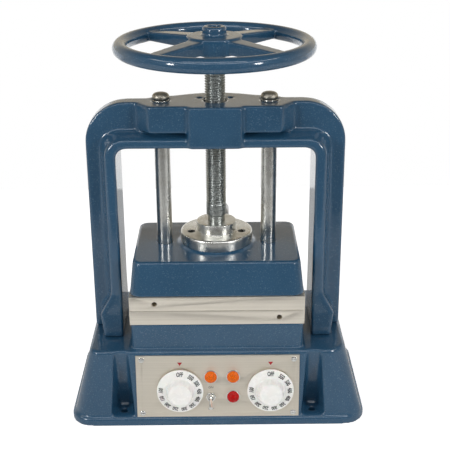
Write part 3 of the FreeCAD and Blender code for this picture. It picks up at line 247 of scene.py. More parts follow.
# Moulded plastic, board or ink with a faint surface texture
def plastic(look):
    size = plasticSurface
    material, tree, shader, place = startMaterial(look["name"])
    tone = between(tree, noise(tree, place, size["toneScale"], 3), 0, 1)
    connect(tree, twoColours(tree, tone, look["colour"], look["second"]), shader.inputs["Base Color"])
    wear = noise(tree, place, size["wearScale"], 2)
    connect(tree, between(tree, wear, *look["roughness"]), shader.inputs["Roughness"])
    shader.inputs["Coat Weight"].default_value = look.get("coat", 0.0)
    shader.inputs["Coat Roughness"].default_value = size["coatRoughness"]
    shader.inputs["Subsurface Weight"].default_value = look.get("subsurface", 0.0)
    shader.inputs["Subsurface Scale"].default_value = size["subsurfaceScale"]
    connect(tree, bump(tree, noise(tree, place, look["grain"], 2), look["grainHeight"]),
            shader.inputs["Normal"])
    return material


# Each lens's glow is painted light: the lamp is unlit, and the glow stands in for light off its reflector
lensLooks = {
    "amber_lens": {"name": "amberLens", "colour": (0.80, 0.135, 0.0), "glow": 0.26},
    "red_lens": {"name": "redLens", "colour": (0.52, 0.0, 0.0), "glow": 0.16},
}
lensSurface = {"cellScale": 620.0, "cellHeight": 0.0004, "cellFrom": 0.05, "cellTo": 0.75,
               "deepShare": 0.45, "roughness": 0.25, "specular": 0.2, "coat": 0.1}


# Coloured lens over an unlit lamp; its emission is a small painted glow standing in for light off the
# reflector behind it
def lens(look):
    size = lensSurface
    material, tree, shader, place = startMaterial(look["name"])
    cells = addNode(tree, "ShaderNodeTexVoronoi", Vector=place, Scale=size["cellScale"]).outputs["Distance"]
    share = between(tree, cells, 0, 1, size["cellFrom"], size["cellTo"])
    deep = tuple(size["deepShare"] * part for part in look["colour"])
    connect(tree, twoColours(tree, share, look["colour"], deep), shader.inputs["Base Color"])
    shader.inputs["Roughness"].default_value = size["roughness"]
    shader.inputs["Specular IOR Level"].default_value = size["specular"]
    shader.inputs["Coat Weight"].default_value = size["coat"]
    # Painted glow: emission on an unlit lens, standing in for light off its reflector
    shader.inputs["Emission Color"].default_value = (*look["colour"], 1)
    shader.inputs["Emission Strength"].default_value = look["glow"]
    connect(tree, bump(tree, cells, size["cellHeight"]), shader.inputs["Normal"])
    return material


def makeMaterials():
    materials["blue_enamel"] = enamel()
    for maker, looks in ((metal, metalLooks), (plastic, plasticLooks), (lens, lensLooks)):
        for slot, look in looks.items():
            materials[slot] = maker(look)
    for name, node in frame["nodes"].items():
        node.data.materials.clear()
        node.data.materials.append(materials[slotOf[name]])
    print("materials", len(materials))


# Pieces

# Make the mesh a piece that stands for these CAD nodes, or that rides the given body
def show(name, mesh, *nodes, material=None, body=None, slot=None):
    piece = bpy.data.objects.new(name, mesh)
    scene.collection.objects.link(piece)
    slot = slot or slotOf[nodes[0]]
    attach(piece, body or bodyOf[nodes[0]])
    if nodes:
        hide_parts(*nodes)
        taken.update(nodes)
    mesh.materials.clear()
    mesh.materials.append(material or materials[slot])
    return piece


# Apply modifiers, each given as (type, settings), and return the finished mesh
def settled(mesh, *changes):
    holder = bpy.data.objects.new("holder", mesh)
    scene.collection.objects.link(holder)
    for kind, settings in changes:
        modifier = holder.modifiers.new(kind, kind)
        for key, value in settings.items():
            setattr(modifier, key, value)
    bpy.context.view_layer.update()
    graph = bpy.context.evaluated_depsgraph_get()
    result = bpy.data.meshes.new_from_object(holder.evaluated_get(graph))
    bpy.data.objects.remove(holder)
    bpy.data.meshes.remove(mesh)
    return result


def smoothShaded(mesh, angle=35):
    mesh.polygons.foreach_set("use_smooth", [True] * len(mesh.polygons))
    mesh.set_sharp_from_angle(angle=math.radians(angle))
    mesh.update()
    return mesh


# Copy a CAD node's mesh with its doubled corners merged and, on request, its flat triangles joined
def welded(node, flat=None):
    mesh = frame["nodes"][node].data.copy()
    shape = bmesh.new()
    shape.from_mesh(mesh)
    bmesh.ops.remove_doubles(shape, verts=shape.verts, dist=1e-6)
    if flat:
        bmesh.ops.dissolve_limit(shape, angle_limit=math.radians(flat), verts=shape.verts,
                                 edges=shape.edges)
    shape.to_mesh(mesh)
    shape.free()
    mesh.materials.clear()
    return mesh


castings = {
    "baseCasting": {"node": "base_casting", "voxel": 0.0014, "rounds": 8, "triangles": 190000},
    "archFrame": {"node": "arch_frame", "voxel": 0.0013, "rounds": 36, "triangles": 170000},
    "upperHousing": {"node": "upper_housing", "voxel": 0.0012, "rounds": 7, "triangles": 120000},
    "handwheel": {"node": "handwheel", "voxel": 0.0010, "rounds": 22, "triangles": 120000},
}
castForm = {"smoothing": 0.5, "shadeAngle": 60}


# Skin a CAD node like a sand casting: every edge and corner is rounded over
def castMesh(size):
    mesh = settled(welded(size["node"]), ("REMESH", {"mode": "VOXEL", "voxel_size": size["voxel"]}),
                   ("SMOOTH", {"factor": castForm["smoothing"], "iterations": size["rounds"]}))
    share = min(1.0, size["triangles"] / (2.0 * len(mesh.polygons)))  # each square face is two triangles
    mesh = settled(mesh, ("DECIMATE", {"ratio": share}))
    return smoothShaded(mesh, castForm["shadeAngle"])


def castPieces():
    for name, size in castings.items():
        mesh = castMesh(size)
        show(name, mesh, size["node"])
        print("casting", name, len(mesh.polygons))


# Turned pieces

onAxis = 1e-7  # a profile point nearer to the axis than this lies on it


# Round the corners of a profile of (radius, height, corner radius) points
def arcCorners(points, steps=5, most=0.45):
    line = []
    for i, (across, up, corner) in enumerate(points):
        here = Vector((across, up))
        if corner <= 0 or i in (0, len(points) - 1):
            line.append(here)
            continue
        back = Vector(points[i - 1][:2]) - here
        ahead = Vector(points[i + 1][:2]) - here
        reach = min(corner, most * back.length, most * ahead.length)
        start, end = here + back.normalized() * reach, here + ahead.normalized() * reach
        for step in range(steps + 1):
            t = step / steps
            line.append((1 - t) ** 2 * start + 2 * t * (1 - t) * here + t ** 2 * end)
    return line


# Faces between pairs of rings; a ring may be a single corner on the axis
def joinRings(shape, bands, sides):
    for low, high in bands:
        for k in range(sides):
            corners = [low[k % len(low)], low[(k + 1) % len(low)],
                       high[(k + 1) % len(high)], high[k % len(high)]]
            face = list(dict.fromkeys(corners))
            if len(face) > 2:
                shape.faces.new(face)


# Turn a profile of (radius, height, corner radius) points about a vertical axis
def latheMesh(name, points, sides=96, centre=(0, 0)):
    line = arcCorners(points)
    shape = bmesh.new()
    rings = []
    for across, up in line:
        if across < onAxis:
            rings.append([shape.verts.new((centre[0], centre[1], up))])
            continue
        rings.append([shape.verts.new((centre[0] + across * math.cos(2 * math.pi * k / sides),
                                       centre[1] + across * math.sin(2 * math.pi * k / sides), up))
                      for k in range(sides)])
    closed = line[0][0] > onAxis
    bands = list(zip(rings, rings[1:])) + ([(rings[-1], rings[0])] if closed else [])
    joinRings(shape, bands, sides)
    bmesh.ops.recalc_face_normals(shape, faces=shape.faces)
    mesh = bpy.data.meshes.new(name)
    shape.to_mesh(mesh)
    shape.free()
    return mesh


# Subtract a bmesh from a mesh
def cutAway(mesh, shape):
    tool = bpy.data.meshes.new("cutter")
    shape.to_mesh(tool)
    shape.free()
    cutter = bpy.data.objects.new("cutter", tool)
    scene.collection.objects.link(cutter)
    result = settled(mesh, ("BOOLEAN", {"operation": "DIFFERENCE", "object": cutter, "solver": "EXACT"}))
    bpy.data.objects.remove(cutter)
    bpy.data.meshes.remove(tool)
    return result


# Cut round holes through a mesh
def bored(mesh, spots, radius, low, high, sides=40):
    shape = bmesh.new()
    for x, y in spots:
        turned = bmesh.ops.create_cone(shape, cap_ends=True, segments=sides, radius1=radius, radius2=radius,
                                       depth=high - low)
        bmesh.ops.translate(shape, verts=turned["verts"], vec=(x, y, (low + high) / 2))
    return cutAway(mesh, shape)


flangeSize = {
    "step": 0.014, "edge": 0.0030, "rimEdge": 0.0008, "collar": 0.0248, "collarFoot": 0.0006,
    "collarEdge": 0.0009, "bore": 0.01046, "boreEdge": 0.0005, "pocket": 0.0188, "pocketTall": 0.0091,
    "boltCircle": 0.0326, "angles": (195, 345), "head": 0.0049, "sink": 0.010, "shank": 0.0032,
    "drillOver": 0.01, "sides": 128}


# Polished thrust flange: a wide rounded disc, a collar and two sunk screws
def flange():
    size = flangeSize
    low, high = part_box("thrust_flange")
    bottom, top, step = low.z, high.z, low.z + size["step"]
    pocketTop = bottom + size["pocketTall"]
    points = [(size["pocket"], bottom, 0), (high.x, bottom, size["rimEdge"]), (high.x, step, size["edge"]),
              (size["collar"], step, size["collarFoot"]), (size["collar"], top, size["collarEdge"]),
              (size["bore"], top, size["boreEdge"]), (size["bore"], pocketTop, 0),
              (size["pocket"], pocketTop, 0)]
    mesh = latheMesh("thrustFlange", points, size["sides"])
    turns = [math.radians(angle) for angle in size["angles"]]
    spots = [(size["boltCircle"] * math.cos(turn), size["boltCircle"] * math.sin(turn)) for turn in turns]
    mesh = bored(mesh, spots, size["head"], step - size["sink"], step + size["drillOver"])
    mesh = bored(mesh, spots, size["shank"], bottom - size["drillOver"], step)
    show("thrustFlange", smoothShaded(mesh, 32), "thrust_flange")
    print("flange")


rodSize = {"edge": 0.0006, "mouthEdge": 0.0002, "spigot": 0.004, "spigotEdge": 0.0004, "spigotTall": 0.008,
           "play": 0.00006, "under": 0.0002, "sides": 64}
capProfile = [(0.87, 0, 0.0004), (1.0, 0.32, 0.002), (0.97, 0.62, 0.002), (0.80, 0.86, 0.002),
              (0.45, 1.0, 0.002)]  # share of its radius, share of its height, corner radius


# Ground guide rods, each with a domed cap on a spigot in its top
def rodsAndCaps():
    size = rodSize
    for side in ("left", "right"):
        low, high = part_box("guide_rod_" + side)
        centre = ((low.x + high.x) / 2, (low.y + high.y) / 2)
        radius, mouth = (high.x - low.x) / 2, size["spigot"] + size["play"]
        floorLevel = high.z - size["spigotTall"] - size["under"]
        points = [(0, low.z, 0), (radius, low.z, size["edge"]), (radius, high.z, size["edge"]),
                  (mouth, high.z, size["mouthEdge"]), (mouth, floorLevel, 0), (0, floorLevel, 0)]
        rod = smoothShaded(latheMesh("guideRod", points, size["sides"], centre))
        show(f"guideRod.{side}", rod, "guide_rod_" + side)
        low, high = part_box("rod_cap_" + side)
        wide, seat = (high.x - low.x) / 2, low.z + size["spigotTall"]
        tall = high.z - seat
        points = [(0, low.z, 0), (size["spigot"], low.z, size["spigotEdge"]), (size["spigot"], seat, 0)]
        points += [(wide * across, seat + tall * up, corner) for across, up, corner in capProfile]
        points.append((0, high.z, 0))
        cap = smoothShaded(latheMesh("rodCap", points, size["sides"], centre), 50)
        show(f"rodCap.{side}", cap, "rod_cap_" + side, material=materials["capSteel"])
    print("rods and caps")


# Lifting screw: a turned bar, with its thread made by geometry nodes

threadSize = {"Crest Radius": 0.0124, "Depth": 0.0016, "Pitch": 0.003175, "Sides": 72}
threadForm = {"rowsPerTurn": 9, "fadeFrom": 0.1, "fadeTo": 1.2}  # the fade is in turns from each end
spindleSize = {
    "edge": 0.0006, "foot": 0.0178, "footTall": 0.006, "neck": 0.0104, "neckEdge": 0.0004,
    "neckTop": 0.2514, "neckChamfer": 0.0015, "grooves": (0.2579, 0.2634), "grooveDeep": 0.0008,
    "grooveHalf": 0.0004, "grooveEdge": 0.0002, "threadLow": 0.2645, "threadHigh": 0.4465,
    "core": 0.0104, "coreLow": 0.2650, "coreStep": 0.0001, "journal": 0.0095, "journalLow": 0.447,
    "sides": 72}


# End a geometry tree: set the material and hand over the mesh
def finished(group, geometry, material):
    painted = addNode(group, "GeometryNodeSetMaterial", Geometry=geometry, Material=material)
    out = addNode(group, "NodeGroupOutput")
    group.links.new(painted.outputs[0], out.inputs[0])
    return group


# Cylinder whose wall sinks along a helix; the sink fades out at both ends
def threadNodes():
    group = bpy.data.node_groups.new("screwThread", "GeometryNodeTree")
    lengths = ("Crest Radius", "Depth", "Pitch", "Length")
    kinds = {**dict.fromkeys(lengths, "NodeSocketFloat"), "Sides": "NodeSocketInt", "Rows": "NodeSocketInt",
             "Material": "NodeSocketMaterial"}
    for name, kind in kinds.items():
        group.interface.new_socket(name, in_out="INPUT", socket_type=kind)
    group.interface.new_socket("Geometry", in_out="OUTPUT", socket_type="NodeSocketGeometry")
    sockets = {socket.name: socket for socket in addNode(group, "NodeGroupInput").outputs}
    bar = addNode(group, "GeometryNodeMeshCylinder", {"fill_type": "NGON"}, Vertices=sockets["Sides"],
                  Side_Segments=sockets["Rows"], Radius=sockets["Crest Radius"], Depth=sockets["Length"])
    spot = addNode(group, "GeometryNodeInputPosition").outputs[0]
    x, y, z = addNode(group, "ShaderNodeSeparateXYZ", Vector=spot).outputs
    angle = math2(group, "ARCTAN2", y, x)
    turns = math2(group, "SUBTRACT", math2(group, "DIVIDE", z, sockets["Pitch"]),
                  math2(group, "DIVIDE", angle, 2 * math.pi))
    swing = math2(group, "COSINE", math2(group, "MULTIPLY", turns, 2 * math.pi))
    groove = addNode(group, "ShaderNodeMapRange", {"interpolation_type": "SMOOTHSTEP"}, n0=swing, n1=-1.0,
                     n2=1.0, n3=0.0, n4=1.0).outputs[0]
    half = math2(group, "MULTIPLY", sockets["Length"], 0.5)
    edge = math2(group, "SUBTRACT", half, math2(group, "ABSOLUTE", z))
    fade = between(group, math2(group, "DIVIDE", edge, sockets["Pitch"]), 0.0, 1.0,
                   threadForm["fadeFrom"], threadForm["fadeTo"])
    sink = math2(group, "MULTIPLY", math2(group, "MULTIPLY", groove, fade), sockets["Depth"])
    radius = math2(group, "SUBTRACT", sockets["Crest Radius"], sink)
    across = math2(group, "MULTIPLY", math2(group, "COSINE", angle), radius)
    along = math2(group, "MULTIPLY", math2(group, "SINE", angle), radius)
    moved = addNode(group, "ShaderNodeCombineXYZ", X=across, Y=along, Z=z).outputs[0]
    placed = addNode(group, "GeometryNodeSetPosition", Geometry=bar.outputs["Mesh"], Position=moved)
    real = addNode(group, "GeometryNodeRealizeInstances", Geometry=placed.outputs[0])
    return finished(group, real.outputs[0], sockets["Material"])


# Run a geometry node group on an empty mesh and return what it makes
def grown(group, values, name):
    holder = bpy.data.objects.new(name, bpy.data.meshes.new(name))
    scene.collection.objects.link(holder)
    modifier = holder.modifiers.new("nodes", "NODES")
    modifier.node_group = group
    for item in group.interface.items_tree:
        if item.item_type == "SOCKET" and item.in_out == "INPUT" and item.name in values:
            modifier[item.identifier] = values[item.name]
    bpy.context.view_layer.update()
    graph = bpy.context.evaluated_depsgraph_get()
    mesh = bpy.data.meshes.new_from_object(holder.evaluated_get(graph))
    bpy.data.objects.remove(holder)
    return mesh


def spindle():
    size, crest = spindleSize, threadSize["Crest Radius"]
    low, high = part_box("screw_spindle")
    footTop = low.z + size["footTall"]
    points = [(0, low.z, 0), (size["foot"], low.z, size["edge"]), (size["foot"], footTop, size["edge"]),
              (size["neck"], footTop, size["neckEdge"]),
              (size["neck"], size["neckTop"] - size["neckChamfer"], size["edge"]),
              (crest, size["neckTop"], size["neckEdge"])]
    for groove in size["grooves"]:
        points += [(crest, groove, size["grooveEdge"]),
                   (crest - size["grooveDeep"], groove + size["grooveHalf"], size["grooveEdge"]),
                   (crest, groove + 2 * size["grooveHalf"], size["grooveEdge"])]
    points += [(crest, size["coreLow"], 0), (size["core"], size["coreLow"] + size["coreStep"], 0),
               (size["core"], size["threadHigh"], 0), (crest, size["threadHigh"], 0),
               (crest, size["journalLow"], size["edge"]), (size["journal"], size["journalLow"], 0),
               (size["journal"], high.z, size["edge"]), (0, high.z, 0)]
    show("spindleBar", smoothShaded(latheMesh("spindleBar", points, size["sides"])), "screw_spindle")
    length = size["threadHigh"] - size["threadLow"]
    rows = int(length / threadSize["Pitch"] * threadForm["rowsPerTurn"])
    values = {**threadSize, "Length": length, "Rows": rows, "Material": materials["turned_steel"]}
    mesh = grown(threadNodes(), values, "spindleThread")
    mesh.transform(Matrix.Translation((0, 0, (size["threadHigh"] + size["threadLow"]) / 2)))
    show("spindleThread", smoothShaded(mesh, 60), body="screw", slot="turned_steel")
    print("thread", len(mesh.polygons))


# Control panel; onPanel gives a place on it from (across, up, out)

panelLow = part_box("control_panel")[0]
panelShape = {"slope": 4.9 / 90.5, "thick": 0.002}  # slope: how far it leans back over its height
panelTilt = math.atan(panelShape["slope"])
panelFoot = Vector((0, panelLow.y + panelShape["thick"] * math.cos(panelTilt), panelLow.z))
panelMatrix = Matrix.Translation(panelFoot) @ Matrix.Rotation(math.pi / 2 - panelTilt, 4, "X")
dialSpots = {"left": (-0.0468, 0.0375), "right": (0.0654, 0.0375)}


def onPanel(across, up, out):
    return panelMatrix @ Matrix.Translation((across, up, out))


dialSize = {
    "radius": 0.029, "draft": 0.0006, "edge": 0.0025, "lip": 0.0022, "lipUp": 0.0006, "rise": 0.0022,
    "ringOut": 0.0193, "grip": 0.0172, "gripTop": 0.0142, "valleyOut": 0.0006, "valleyUp": 0.0018,
    "gripUp": 0.0026, "shoulderOut": 0.0006, "shoulderDown": 0.0008, "face": 0.8, "front": 0.0155,
    "dish": 0.0003, "bore": 0.003, "floor": 0.004, "arcSteps": 6,
    "rounds": (0, 0, 0.0012, 0.0008, 0.0006, 0.0005, 0.0005, 0.0022, 0.003, 0),
    "flutes": 24, "fluteSides": 6, "fluteDeep": 0.0004, "fluteFrom": 0.0022, "fluteFade": 0.003,
    "fluteOut": 0.0002}
dialPrint = {"numbers": range(100, 551, 50), "firstAngle": 275, "step": 26.7, "tall": 0.0054, "wide": 0.62,
             "ring": 0.0236, "up": 0.00045, "thick": 0.00012, "bold": 0.00022}


# White dial in its own frame: axis z, floor at z = 0
def dialBody(size):
    edge, front = size["edge"], size["front"]
    corners = [(size["bore"], 0), (size["radius"] - size["draft"], 0), (size["radius"], edge),
               (size["radius"] - size["lip"], edge + size["lipUp"]), (size["ringOut"], edge + size["rise"]),
               (size["grip"] + size["valleyOut"], edge + size["valleyUp"]),
               (size["grip"], edge + size["gripUp"]),
               (size["gripTop"] + size["shoulderOut"], front - size["shoulderDown"]),
               (size["gripTop"] * size["face"], front), (0, front - size["dish"])]
    points = [(*corner, reach) for corner, reach in zip(corners, size["rounds"])]
    line = arcCorners(points, size["arcSteps"])
    sides = size["flutes"] * size["fluteSides"]
    shape = bmesh.new()
    rings = []
    for across, up in line:
        if across < onAxis:
            rings.append([shape.verts.new((0, 0, up))])
            continue
        ring = []
        share = max(0.0, min(1.0, (up - size["edge"] - size["fluteFrom"]) / size["fluteFade"]))
        onGrip = share if size["gripTop"] < across <= size["grip"] + size["fluteOut"] else 0.0
        for k in range(sides):
            turn = 2 * math.pi * k / sides
            wave = 0.5 - 0.5 * math.cos(size["flutes"] * turn)
            reach = across - onGrip * size["fluteDeep"] * wave
            ring.append(shape.verts.new((reach * math.cos(turn), reach * math.sin(turn), up)))
        rings.append(ring)
    joinRings(shape, zip(rings, rings[1:]), sides)
    shape.faces.new(list(reversed(rings[0])))
    bmesh.ops.recalc_face_normals(shape, faces=shape.faces)
    mesh = bpy.data.meshes.new("dial")
    shape.to_mesh(mesh)
    shape.free()
    return smoothShaded(mesh, 40)


# Flat raised lettering centred on the origin
def letters(text, tall, thick, bold=0.0):
    curve = bpy.data.curves.new("letters", "FONT")
    curve.body = text
    curve.size = tall / 0.7  # capitals are 0.7 of the font's size
    curve.align_x = "CENTER"
    curve.align_y = "CENTER"
    curve.extrude = thick
    curve.offset = bold
    curve.resolution_u = 3
    holder = bpy.data.objects.new("letters", curve)
    scene.collection.objects.link(holder)
    bpy.context.view_layer.update()
    graph = bpy.context.evaluated_depsgraph_get()
    mesh = bpy.data.meshes.new_from_object(holder.evaluated_get(graph))
    bpy.data.objects.remove(holder)
    bpy.data.curves.remove(curve)
    return mesh


# Join meshes, each given with its matrix, into one
def joined(name, parts):
    shape = bmesh.new()
    for mesh, matrix in parts:
        mesh.transform(matrix)
        shape.from_mesh(mesh)
        bpy.data.meshes.remove(mesh)
    mesh = bpy.data.meshes.new(name)
    shape.to_mesh(mesh)
    shape.free()
    return mesh


def dials():
    size, printed = dialSize, dialPrint
    lip, ring = size["radius"] - size["lip"], printed["ring"]
    slope = math.atan(size["rise"] / (lip - size["ringOut"]))
    level = size["edge"] + size["rise"] * (lip - ring) / (lip - size["ringOut"]) + printed["up"]
    tip = Matrix.Rotation(-slope, 4, "X") @ Matrix.Diagonal((printed["wide"], 1, 1, 1))
    texts = [("OFF", 0.0)] + [(str(number), printed["firstAngle"] - printed["step"] * i)
                              for i, number in enumerate(printed["numbers"])]
    for side, (across, up) in dialSpots.items():
        place = onPanel(across, up, size["floor"])
        mesh = dialBody(size)
        mesh.transform(place)
        show(f"dial.{side}", mesh, f"dial_{side}")
        marks = []
        for text, angle in texts:
            around = Matrix.Rotation(-math.radians(angle), 4, "Z")
            around = around @ Matrix.Translation((0, ring, level)) @ tip
            mark = letters(text, printed["tall"], printed["thick"], printed["bold"])
            marks.append((mark, place @ around))
        show(f"dialNumbers.{side}", joined("dialNumbers", marks), body=f"dial_{side}", slot="dial_plastic",
             material=materials["ink"])
    print("dials")


panelPrint = {"pointerUp": 0.0705, "pointerWide": 0.0062, "pointerTall": 0.0046, "thick": 0.00006,
              "textTall": 0.0028, "words": {"ON": (-0.0086, 0.0405), "OFF": (-0.0086, 0.0105)}}


# Red triangle that points down at a dial
def pointer():
    size = panelPrint
    half, thick = size["pointerWide"] / 2, size["thick"]
    corners = [(-half, size["pointerTall"]), (half, size["pointerTall"]), (0, 0)]
    shape = bmesh.new()
    low, high = ([shape.verts.new((x, y, z)) for x, y in corners] for z in (-thick, thick))
    shape.faces.new(high)
    shape.faces.new(list(reversed(low)))
    joinRings(shape, [(low, high)], 3)
    bmesh.ops.recalc_face_normals(shape, faces=shape.faces)
    mesh = bpy.data.meshes.new("pointer")
    shape.to_mesh(mesh)
    shape.free()
    return mesh


# Red pointers over the dials and the switch's two words
def panelMarks():
    size, face = panelPrint, panelShape["thick"]
    pointers = [(pointer(), onPanel(spot[0], size["pointerUp"], face)) for spot in dialSpots.values()]
    words = [(letters(text, size["textTall"], size["thick"]), onPanel(*spot, face))
             for text, spot in size["words"].items()]
    for name, parts, ink in (("panelPointers", pointers, "redInk"), ("switchWords", words, "ink")):
        show(name, joined(name, parts), body="frame", slot="panel_metal", material=materials[ink])
    print("panel marks")


# Screws: one of each kind is made, and geometry nodes repeat it over a grid

screwKinds = {
    "panelScrews": {
        "node": "panel_screws", "head": 0.0036, "tall": 0.0014, "dome": 0.0005, "shank": 0.0017,
        "long": 0.0020, "drive": 0.0011, "driveDeep": 0.0008, "sides": 4, "apart": (0.188, 0.0732),
        "count": (2, 2), "up": 0.0055},
    "coverScrews": {
        "node": "base_cover_screws", "head": 0.0042, "tall": 0.0016, "dome": 0.0005, "shank": 0.0025,
        "long": 0.0095, "drive": 0.0011, "driveDeep": 0.0009, "sides": 4, "apart": (0.278, 0.096),
        "count": (2, 2)},
    "flangeScrews": {
        "node": "flange_screws", "head": 0.0046, "tall": 0.0050, "dome": 0.0002, "shank": 0.0030,
        "long": 0.0170, "drive": 0.0025, "driveDeep": 0.0030, "sides": 6, "apart": (0.06298, 0.0),
        "count": (2, 1)},
}
screwForm = {"tipEdge": 0.0003, "seatEdge": 0.0002, "headEdge": 0.0006, "crown": 0.6, "crownEdge": 0.001,
             "slotLong": 2.4, "sides": 48}  # crown and slotLong are shares of the head's radius


# Repeat a template object on the points of a flat grid
def gridNodes():
    group = bpy.data.node_groups.new("screwGrid", "GeometryNodeTree")
    kinds = {"Template": "NodeSocketObject", "Apart X": "NodeSocketFloat", "Apart Y": "NodeSocketFloat",
             "Columns": "NodeSocketInt", "Rows": "NodeSocketInt", "Material": "NodeSocketMaterial"}
    for name, kind in kinds.items():
        group.interface.new_socket(name, in_out="INPUT", socket_type=kind)
    group.interface.new_socket("Geometry", in_out="OUTPUT", socket_type="NodeSocketGeometry")
    sockets = {socket.name: socket for socket in addNode(group, "NodeGroupInput").outputs}
    grid = addNode(group, "GeometryNodeMeshGrid", n0=sockets["Apart X"], n1=sockets["Apart Y"],
                   n2=sockets["Columns"], n3=sockets["Rows"]).outputs["Mesh"]
    template = addNode(group, "GeometryNodeObjectInfo", {"transform_space": "ORIGINAL"},
                       n0=sockets["Template"]).outputs["Geometry"]
    copies = addNode(group, "GeometryNodeInstanceOnPoints", Points=grid, Instance=template)
    real = addNode(group, "GeometryNodeRealizeInstances", Geometry=copies.outputs[0])
    return finished(group, real.outputs[0], sockets["Material"])


# Screw with its seat at z = 0: a slot is cut for four sides, a hexagon socket for six
def screwMesh(size):
    form = screwForm
    head, tall, shank, drive = size["head"], size["tall"], size["shank"], size["drive"]
    deep = 2 * size["driveDeep"]
    points = [(0, -size["long"], 0), (shank, -size["long"], form["tipEdge"]), (shank, 0, 0),
              (head, 0, form["seatEdge"]), (head, tall - size["dome"], form["headEdge"]),
              (head * form["crown"], tall, form["crownEdge"]), (0, tall, 0)]
    mesh = latheMesh("screw", points, form["sides"])
    shape = bmesh.new()
    if size["sides"] == 4:
        bmesh.ops.create_cube(shape, size=1.0)
        bmesh.ops.scale(shape, verts=shape.verts, vec=(form["slotLong"] * head, drive, deep))
    else:
        bmesh.ops.create_cone(shape, cap_ends=True, segments=size["sides"], radius1=drive, radius2=drive,
                              depth=deep)
    bmesh.ops.translate(shape, verts=shape.verts, vec=(0, 0, tall))
    return smoothShaded(cutAway(mesh, shape), 35)


def screws():
    group = gridNodes()
    for name, size in screwKinds.items():
        template = bpy.data.objects.new("template", screwMesh(size))
        scene.collection.objects.link(template)
        (wide, deep), (columns, rows) = size["apart"], size["count"]
        values = {"Template": template, "Apart X": wide, "Apart Y": deep, "Columns": columns, "Rows": rows,
                  "Material": materials[slotOf[size["node"]]]}
        mesh = grown(group, values, name)
        bpy.data.objects.remove(template)
        low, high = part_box(size["node"])
        middle = (low + high) / 2
        if name == "panelScrews":
            place = onPanel(0, deep / 2 + size["up"], panelShape["thick"])
        elif name == "coverScrews":
            place = Matrix.Translation((middle.x, middle.y, low.z + size["tall"]))
            place = place @ Matrix.Rotation(math.pi, 4, "X")
        else:
            place = Matrix.Translation((middle.x, middle.y, high.z - size["tall"]))
        mesh.transform(place)
        show(name, mesh, size["node"])
    print("screws")


# Everything that keeps its CAD shape gets broken edges

edgeOf = {"lower_platen": 0.0006, "upper_platen": 0.0006, "control_panel": 0.0005,
          "guide_bush_left": 0.0004, "guide_bush_right": 0.0004, "screw_nut": 0.0005,
          "lead_gland": 0.0005, "power_gland": 0.0005}
machinedForm = {"edge": 0.0003, "flat": 0.4, "segments": 2, "breakFrom": 38, "shadeAngle": 30}  # degrees


# Break the sharp edges of a machined CAD node by a small radius
def machinedMesh(node):
    form = machinedForm
    settings = {"width": edgeOf.get(node, form["edge"]), "segments": form["segments"],
                "limit_method": "ANGLE", "angle_limit": math.radians(form["breakFrom"]),
                "use_clamp_overlap": True, "harden_normals": False}
    mesh = settled(welded(node, form["flat"]), ("BEVEL", settings))
    return smoothShaded(mesh, form["shadeAngle"])


def machinedPieces():
    left = [node for node in sorted(frame["nodes"]) if node not in taken]
    for node in left:
        words = node.split("_")
        show(words[0] + "".join(word.capitalize() for word in words[1:]), machinedMesh(node), node)
    print("machined pieces", len(left))


# Floor, camera and lights

sweepSize = {"side": 1.6, "front": -0.62, "rear": 0.80, "top": 0.49, "sink": 0.0004}
paperLook = {"colour": (0.92, 0.92, 0.91), "second": (0.95, 0.95, 0.94), "toneScale": 3, "roughness": 0.9,
             "specular": 0.1, "glow": {"floor": 0.05, "card": 0.34}, "seen": 0.72}


# Matt white paper; it gives off some light of its own, and more when the camera looks at it
def whitePaper(sheet):
    look = paperLook
    material, tree, shader, place = startMaterial(sheet + "Paper")
    tone = between(tree, noise(tree, place, look["toneScale"], 2), 0, 1)
    connect(tree, twoColours(tree, tone, look["colour"], look["second"]), shader.inputs["Base Color"])
    shader.inputs["Roughness"].default_value = look["roughness"]
    shader.inputs["Specular IOR Level"].default_value = look["specular"]
    shader.inputs["Emission Color"].default_value = (1, 1, 1, 1)
    path = addNode(tree, "ShaderNodeLightPath").outputs["Is Camera Ray"]
    glow = addNode(tree, "ShaderNodeMix", n0=path, n2=look["glow"][sheet], n3=look["seen"]).outputs[0]
    connect(tree, glow, shader.inputs["Emission Strength"])
    return material


# White floor, and behind it a low white card that only reflections see
def floor():
    size = sweepSize
    side, front, rear, low, top = size["side"], size["front"], size["rear"], -size["sink"], size["top"]
    sheets = {
        "floor": [(-side, front, low), (side, front, low), (side, rear, low), (-side, rear, low)],
        "card": [(-side, rear, low), (side, rear, low), (side, rear, top), (-side, rear, top)]}
    for name, corners in sheets.items():
        mesh = bpy.data.meshes.new(name)
        mesh.from_pydata(corners, [], [(0, 1, 2, 3)])
        sheet = bpy.data.objects.new(name, mesh)
        scene.collection.objects.link(sheet)
        mesh.materials.append(whitePaper(name))
        if name == "card":
            sheet.visible_camera = False
            sheet.visible_diffuse = False
            sheet.visible_shadow = False
    print("floor and card")


cameraSize = {"place": (0.00672, -1.13408, 0.68652), "down": 21.714, "towardsRight": 0.203, "roll": -0.418,
              "sensor": 36, "lens": 77.70, "far": 50}


def camera():
    size = cameraSize
    down, aside, roll = (math.radians(size[key]) for key in ("down", "towardsRight", "roll"))
    ahead = Vector((math.sin(aside) * math.cos(down), math.cos(aside) * math.cos(down), -math.sin(down)))
    right = Vector((math.cos(aside), -math.sin(aside), 0))
    up = right.cross(ahead)
    across = right * math.cos(roll) + up * math.sin(roll)
    above = up * math.cos(roll) - right * math.sin(roll)
    data = bpy.data.cameras.new("camera")
    data.sensor_width = size["sensor"]
    data.lens = size["lens"]
    data.clip_end = size["far"]
    view = bpy.data.objects.new("camera", data)
    turn = Matrix((across, above, -ahead)).transposed().to_4x4()
    view.matrix_world = Matrix.Translation(Vector(size["place"])) @ turn
    scene.collection.objects.link(view)
    scene.camera = view
    print("camera")


